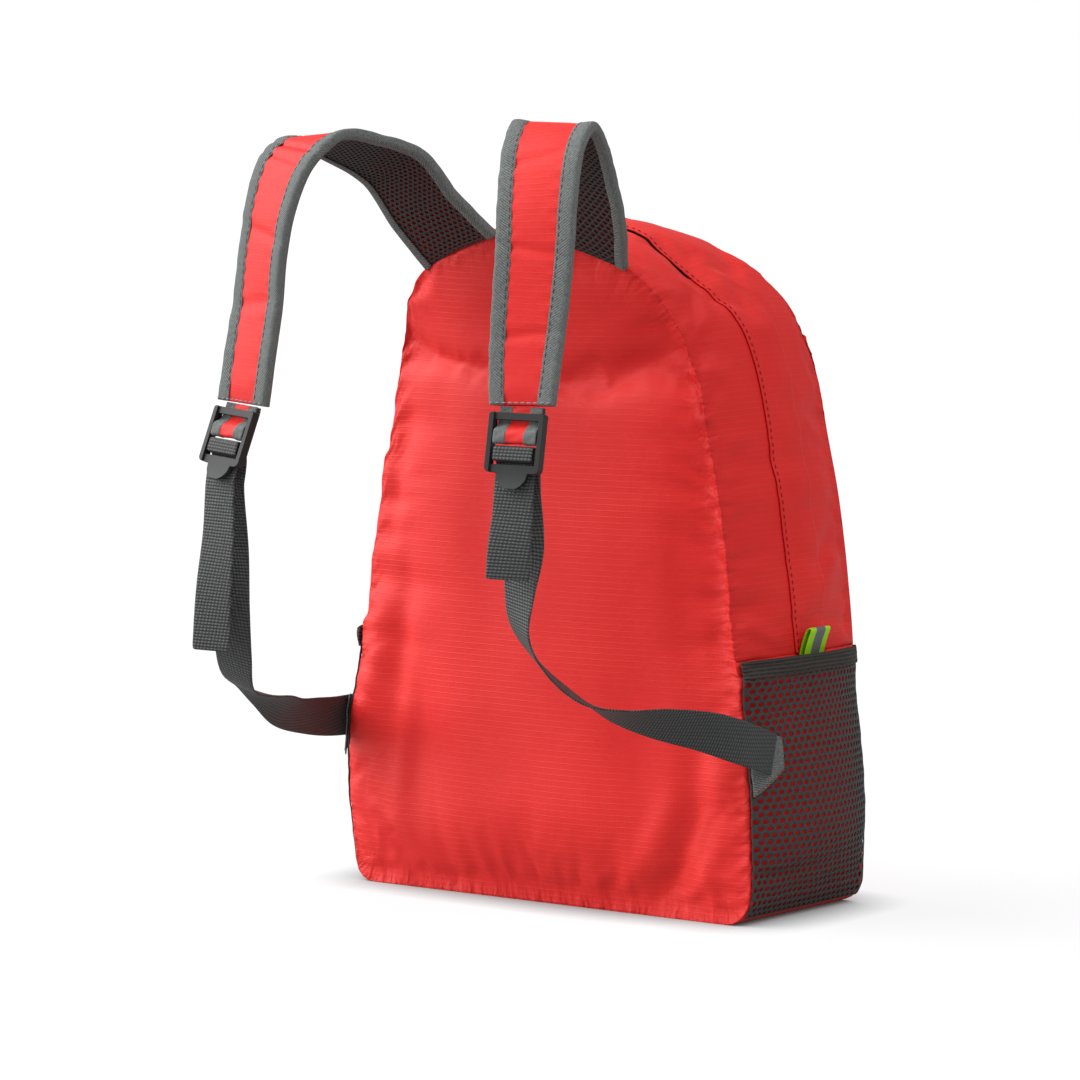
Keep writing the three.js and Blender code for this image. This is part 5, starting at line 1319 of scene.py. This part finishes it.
for side_name in buckle_frames:
    half = BUCKLE_WIDTH / 2
    columns = [-half, -half + RAIL, -TAB_HALF, -0.0066, -0.0034, 0, 0.0034, 0.0066, TAB_HALF, half - RAIL, half]
    tiers = [*BAR_TOPS, *(BAR_TOPS[-1] + TAB_LONG * share for share in (0.4, 0.72, 0.93))]
    plate = bmesh.new()
    bmesh.ops.create_grid(plate, x_segments=len(columns) - 1, y_segments=len(tiers) - 1, size=0.5)
    spare = []
    for face in plate.faces:
        middle = face.calc_center_median()
        column = math.floor((middle.x + 0.5) * (len(columns) - 1))
        tier = math.floor((middle.y + 0.5) * (len(tiers) - 1))
        in_slot = tier in (1, 3, 5) and 0 < column < len(columns) - 2
        beside_tab = tier > 6 and not 2 <= column <= 7
        if in_slot or beside_tab:
            spare.append(face)
    bmesh.ops.delete(plate, geom=spare, context="FACES")
    for vert in plate.verts:
        column = round((vert.co.x + 0.5) * (len(columns) - 1))
        tier = round((vert.co.y + 0.5) * (len(tiers) - 1))
        down_tab = max(tiers[tier] - BAR_TOPS[-1], 0) / TAB_LONG
        vert.co = (columns[column] * math.sqrt(1 - down_tab ** 2), tiers[tier], -BAR_DEPTH / 2)
    for radius, edge in ((0.0016, BAR_TOPS[0]), (0.0028, BAR_TOPS[-1])):
        corners = [v for v in plate.verts if abs(v.co.x) > half - 0.0001 and abs(v.co.y - edge) < 0.0001]
        bmesh.ops.bevel(plate, geom=corners, offset=radius, offset_type="OFFSET", segments=4, profile=0.5,
                        affect="VERTICES")
    back_faces = list(plate.faces)
    raised = bmesh.ops.extrude_face_region(plate, geom=back_faces)["geom"]
    bmesh.ops.translate(plate, vec=(0, 0, BAR_DEPTH), verts=[g for g in raised if isinstance(g, bmesh.types.BMVert)])
    for sign in (-1, 1):
        plate.normal_update()
        chosen = []
        for face in plate.faces:
            middle = face.calc_center_median()
            on_rail = abs(middle.x) > half - RAIL and middle.y < BAR_TOPS[-1] - 0.001
            if on_rail and abs(face.normal.z) > 0.9 and middle.z * sign > 0:
                chosen.append(face)
        grown = bmesh.ops.extrude_face_region(plate, geom=chosen)["geom"]
        bmesh.ops.delete(plate, geom=[f for f in chosen if f.is_valid], context="FACES_ONLY")
        bmesh.ops.translate(plate, vec=(0, 0, sign * (RAIL_DEPTH - BAR_DEPTH) / 2),
                            verts=[g for g in grown if isinstance(g, bmesh.types.BMVert)])
    bmesh.ops.recalc_face_normals(plate, faces=plate.faces)
    for vert in plate.verts:
        tab_bend = max(vert.co.y - BAR_TOPS[-1], 0)
        vert.co.z += 18 * tab_bend ** 2
        vert.co = Vector(on_buckle(side_name, vert.co.x, vert.co.y, vert.co.z))
    bmesh.ops.recalc_face_normals(plate, faces=plate.faces)
    moulding = add_object(f"buckle_moulding_{side_name}", plate, moulded)
    finish_with(moulding, bevel=0.00065, bevel_segments=3)
    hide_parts(f"buckle_{side_name}")

# The strap's own end, drawn in narrow with its edge tapes, passes through each buckle: behind its upper
# bar, forward round the middle bar and back up, where it is sewn to itself under the bar tack.
END_WIDTH = 0.0268
END_WALL = 0.0014
half_bar = BAR_DEPTH / 2
end_clear = 0.00035 + END_WALL / 2


def round_foot(edge, clear):
    """Path round the lower edge of a bar from its front to its back."""
    turn = clear * 0.74
    return [(edge - 0.0002, half_bar + clear), (edge + turn, half_bar + turn), (edge + clear, half_bar * 0.6),
            (edge + clear, -half_bar * 0.6), (edge + turn, -half_bar - turn), (edge - 0.0002, -half_bar - clear)]


behind = -(half_bar + end_clear + 0.0006)
second = behind - END_WALL - 0.0007
front = half_bar + end_clear
end_path = smooth_line(np.array([
    (-0.0038, behind), (0.002, behind), (0.0062, behind + 0.0007), (0.0103, front - 0.0004), (0.0123, front + 0.00015),
    *round_foot(0.0155, end_clear), (0.0123, -front), (0.0099, -front - 0.0009), (0.0062, second), (0.002, second),
    (-0.0038, second)]), 5)
end_run = np.concatenate([[0], np.cumsum(np.linalg.norm(np.diff(end_path, axis=0), axis=1))])
end_slope = unit(np.gradient(end_path, axis=0))
for side_name in buckle_frames:
    def end_band(name, low, high, lift, material, wall):
        def band_place(u, v):
            run = v * end_run[-1]
            t, n, dt, dn = (np.interp(run, end_run, q) for q in (*end_path.T, *end_slope.T))
            a = low + (high - low) * u
            ruck = 0.00022 * np.sin(run * 900 + a * 500)
            return on_buckle(side_name, a, t - dn * (lift + ruck), n + dt * (lift + ruck))

        sheet = cloth_grid(8, 60, band_place, lambda u, v: (v * end_run[-1], low + (high - low) * u))
        bmesh.ops.recalc_face_normals(sheet, faces=sheet.faces)
        piece = add_object(name, sheet, material)
        finish_with(piece, wall=wall, offset=0, levels=1)
        return piece

    red_end = end_band(f"strap_end_{side_name}", -END_WIDTH / 2 + 0.001, END_WIDTH / 2 - 0.001, 0, ripstop,
                       0.0009)
    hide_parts(f"strap_end_loop_{side_name}")
    end_band(f"strap_end_edge_inner_{side_name}", -END_WIDTH / 2, -0.0055, 0.00012, binding_tape, 0.0013)
    end_band(f"strap_end_edge_outer_{side_name}", 0.0055, END_WIDTH / 2, 0.00012, binding_tape, 0.0013)

# Webbing: inch-wide dark polypropylene, woven with raised floats in rows. It is sewn into the side seam,
# hangs in a slack curve, comes up behind its buckle, over the lock bar and down again as a free end.
WEB_WIDTH = 0.0254
WEB_WALL = 0.0015
ANCHOR_HEIGHT = 0.097
ANCHOR_INSET = 0.012

load_rows = {
    "right": [
        (0.05, 0.0, 0.19, 6, 0), (-0.02, 0.0, 0.345, -10, -8), (-0.06, 0.02, 0.49, -28, -12),
        (0.01, 0.12, 0.63, -39, -13), (0.2, 0.235, 0.74, -40, -8), (0.45, 0.35, 0.805, -28, 20),
        (0.7, 0.48, 0.84, -11, 47), (0.93, 0.64, 0.88, 18, 63), (1.06, 0.81, 0.94, 73, 74),
    ],
    "left": [
        (-0.04, 0.0, 0.24, -2, 2), (-0.05, -0.01, 0.45, 7, -2), (0.02, 0.02, 0.63, 11, -10),
        (0.16, 0.09, 0.755, 6, -21), (0.28, 0.22, 0.81, 12, -11), (0.43, 0.365, 0.865, 24, 15),
        (0.6, 0.51, 0.93, 34, 42), (0.74, 0.68, 0.965, 40, 62), (0.9, 0.85, 0.99, 50, 76),
    ],
}
free_ends = {"right": (0.052, 0.006, 0.0, 26), "left": (0.100, 0.006, 0.003, -12)}


def woven_web(name, light, dark):
    """Pale floats in level rows, each a millimetre and a half long, on a dark ground."""
    made, tree, shader = new_material(name, light, 0.55, 0.4)
    along, across = cloth_coordinates(tree)
    slanted = sum_of(tree, "ADD", across, sum_of(tree, "MULTIPLY", along, 0.18))
    rows = thread_line(tree, along, 0.0018, 0.42)
    floats = thread_line(tree, slanted, 0.0023, 0.55)
    raised = sum_of(tree, "POWER", sum_of(tree, "MULTIPLY", rows, floats), 0.6)
    places = tree.nodes.new("ShaderNodeTexCoord").outputs["Object"]
    tone = sum_of(tree, "ADD", raised, sum_of(tree, "MULTIPLY", noise_of(tree, places, 500, 2), 0.15))
    tree.links.new(blend_colours(tree, tone, dark, light), shader.inputs["Base Color"])
    add_bump(tree, shader, tone, 0.0007, 0.9)
    return made


web_yarn = woven_web("web_yarn", (0.115, 0.12, 0.117), (0.007, 0.008, 0.008))


def width_way(yaw, tilt):
    yaw, tilt = math.radians(yaw), math.radians(tilt)
    return np.array([math.cos(tilt) * math.cos(yaw), math.cos(tilt) * math.sin(yaw), math.sin(tilt)])


web_clear = 0.00035 + WEB_WALL / 2
web_turn = web_clear * 0.74
web_front = half_bar + web_clear
tail_behind = -(half_bar + web_clear + 0.0003)
lock_top, lock_foot, plate_top, plate_foot = 0.020, 0.025, 0.0285, 0.033
locked = [
    (plate_foot + 0.009, -0.0115), (plate_foot, -0.0092), (plate_top - 0.002, -0.0072), (lock_top + 0.0026, -0.0048),
    (lock_top + 0.0004, -web_front - 0.0004), (lock_top - web_turn, -half_bar - web_turn),
    (lock_top - web_clear, -half_bar * 0.5), (lock_top - web_clear, half_bar * 0.6),
    (lock_top - web_turn, half_bar + web_turn), (lock_top + 0.0002, web_front), (lock_top + 0.0025, web_front),
    (lock_foot - 0.0002, web_front), (lock_foot + web_turn, half_bar + web_turn),
    (lock_foot + web_clear, half_bar * 0.5), (lock_foot + web_clear + 0.00045, -half_bar),
    (plate_top - 0.0005, tail_behind + 0.0001), (plate_top + 0.001, tail_behind),
    (plate_top + 0.0027, tail_behind - 0.0001), (plate_foot + 0.0057, tail_behind - 0.00015),
]
for side_name, side_sign in (("left", -1), ("right", 1)):
    _, level, _, _ = buckle_frames[side_name]
    exit_place = on_buckle(side_name, 0, *locked[0])
    anchor_run = run_at_height(ANCHOR_HEIGHT)
    anchor_y = -BAG_DEPTH / 2 + ANCHOR_INSET
    anchor_off = pocket_lift(anchor_run, anchor_y) + 0.0015 + 0.0007 + 0.0012 + WEB_WALL * 1.6
    anchor = gusset_place(side_sign, anchor_run, anchor_y, anchor_off)
    stations = [(anchor, width_way(90, 84 if side_sign > 0 else 88))]
    for across_share, back_share, down_share, yaw, tilt in reversed(load_rows[side_name]):
        share = np.array([across_share, back_share, down_share])
        stations.append((exit_place + (anchor - exit_place) * share, width_way(yaw, tilt)))
    stations += [(on_buckle(side_name, 0, t, n), level) for t, n in locked]
    tail_long, tail_forward, tail_out, tail_yaw = free_ends[side_name]
    tail_start = stations[-1][0]
    for share in (0.33, 0.66, 1):
        swing = float(smooth_step(share))
        place = tail_start + [side_sign * tail_out * swing, -tail_forward * swing, -tail_long * share]
        stations.append((place, unit(level * (1 - swing) + width_way(side_sign * tail_yaw, 0) * swing)))
    STEPS_EACH = 7
    web_line = smooth_line(np.array([p for p, _ in stations]), STEPS_EACH)
    web_across = through_rows([w for _, w in stations], np.linspace(0, 1, len(web_line)))
    web_along = unit(np.gradient(web_line, axis=0))
    web_across = unit(web_across - web_along * np.sum(web_across * web_along, -1, keepdims=True))
    web_normal = np.cross(web_along, web_across)
    web_run = np.concatenate([[0], np.cumsum(np.linalg.norm(np.diff(web_line, axis=0), axis=1))])

    def web_place(u, v):
        step = v * (len(web_line) - 1)
        p, w, n = (np.stack([np.interp(step, np.arange(len(web_line)), q[:, k]) for k in range(3)], -1)
                   for q in (web_line, web_across, web_normal))
        a = (u - 0.5) * (WEB_WIDTH - 0.0006)
        return p + unit(w) * a[:, None] + unit(n) * 0

    def web_flat(u, v):
        return np.interp(v * (len(web_line) - 1), np.arange(len(web_line)), web_run), (u - 0.5) * WEB_WIDTH

    web_sheet = cloth_grid(10, len(web_line) - 1, web_place, web_flat)
    bmesh.ops.recalc_face_normals(web_sheet, faces=web_sheet.faces)
    web = add_object(f"web_{side_name}", web_sheet, web_yarn)
    finish_with(web, wall=WEB_WALL * 0.9, offset=0, levels=1)
    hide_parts(f"webbing_{side_name}")

# Triangular tabs of folded tape that hold the webbing in the side seams, edged with a row of stitches.
for side_name, side_sign in (("left", -1), ("right", 1)):
    def tab_place(u, v):
        t = v
        seam_y = -BAG_DEPTH / 2 + 0.0008
        half = 0.019 * (1 - t) + WEB_WIDTH * 0.36 * t
        centre = (ANCHOR_HEIGHT - 0.004) * (1 - t) + ANCHOR_HEIGHT * t
        run = run_at_height(centre + (2 * u - 1) * half)
        y = seam_y + t * 0.019
        return on_gusset(side_sign, run, y, pocket_lift(run, y) + 0.0015 + 0.0004 + 0.0006)

    tab_sheet = cloth_grid(18, 14, tab_place, lambda u, v: (v * 0.019, (u - 0.5) * 0.038))
    faces_toward(tab_sheet, (side_sign, 0, 0))
    tab = add_object(f"seam_tab_{side_name}", tab_sheet, binding_tape)
    finish_with(tab, wall=0.0012, offset=0, levels=1)
    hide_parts(f"strap_tab_{side_name}")
    tab_v = np.linspace(0.05, 0.95, 20)
    tab_edge = tab_place(np.full(20, 0.06), tab_v) + [side_sign * 0.0007, 0, 0]
    sew(f"tab_stitches_{side_name}", tab_edge, np.tile([side_sign, 0, 0], (20, 1)), red_thread, 0.0022, 0.001)
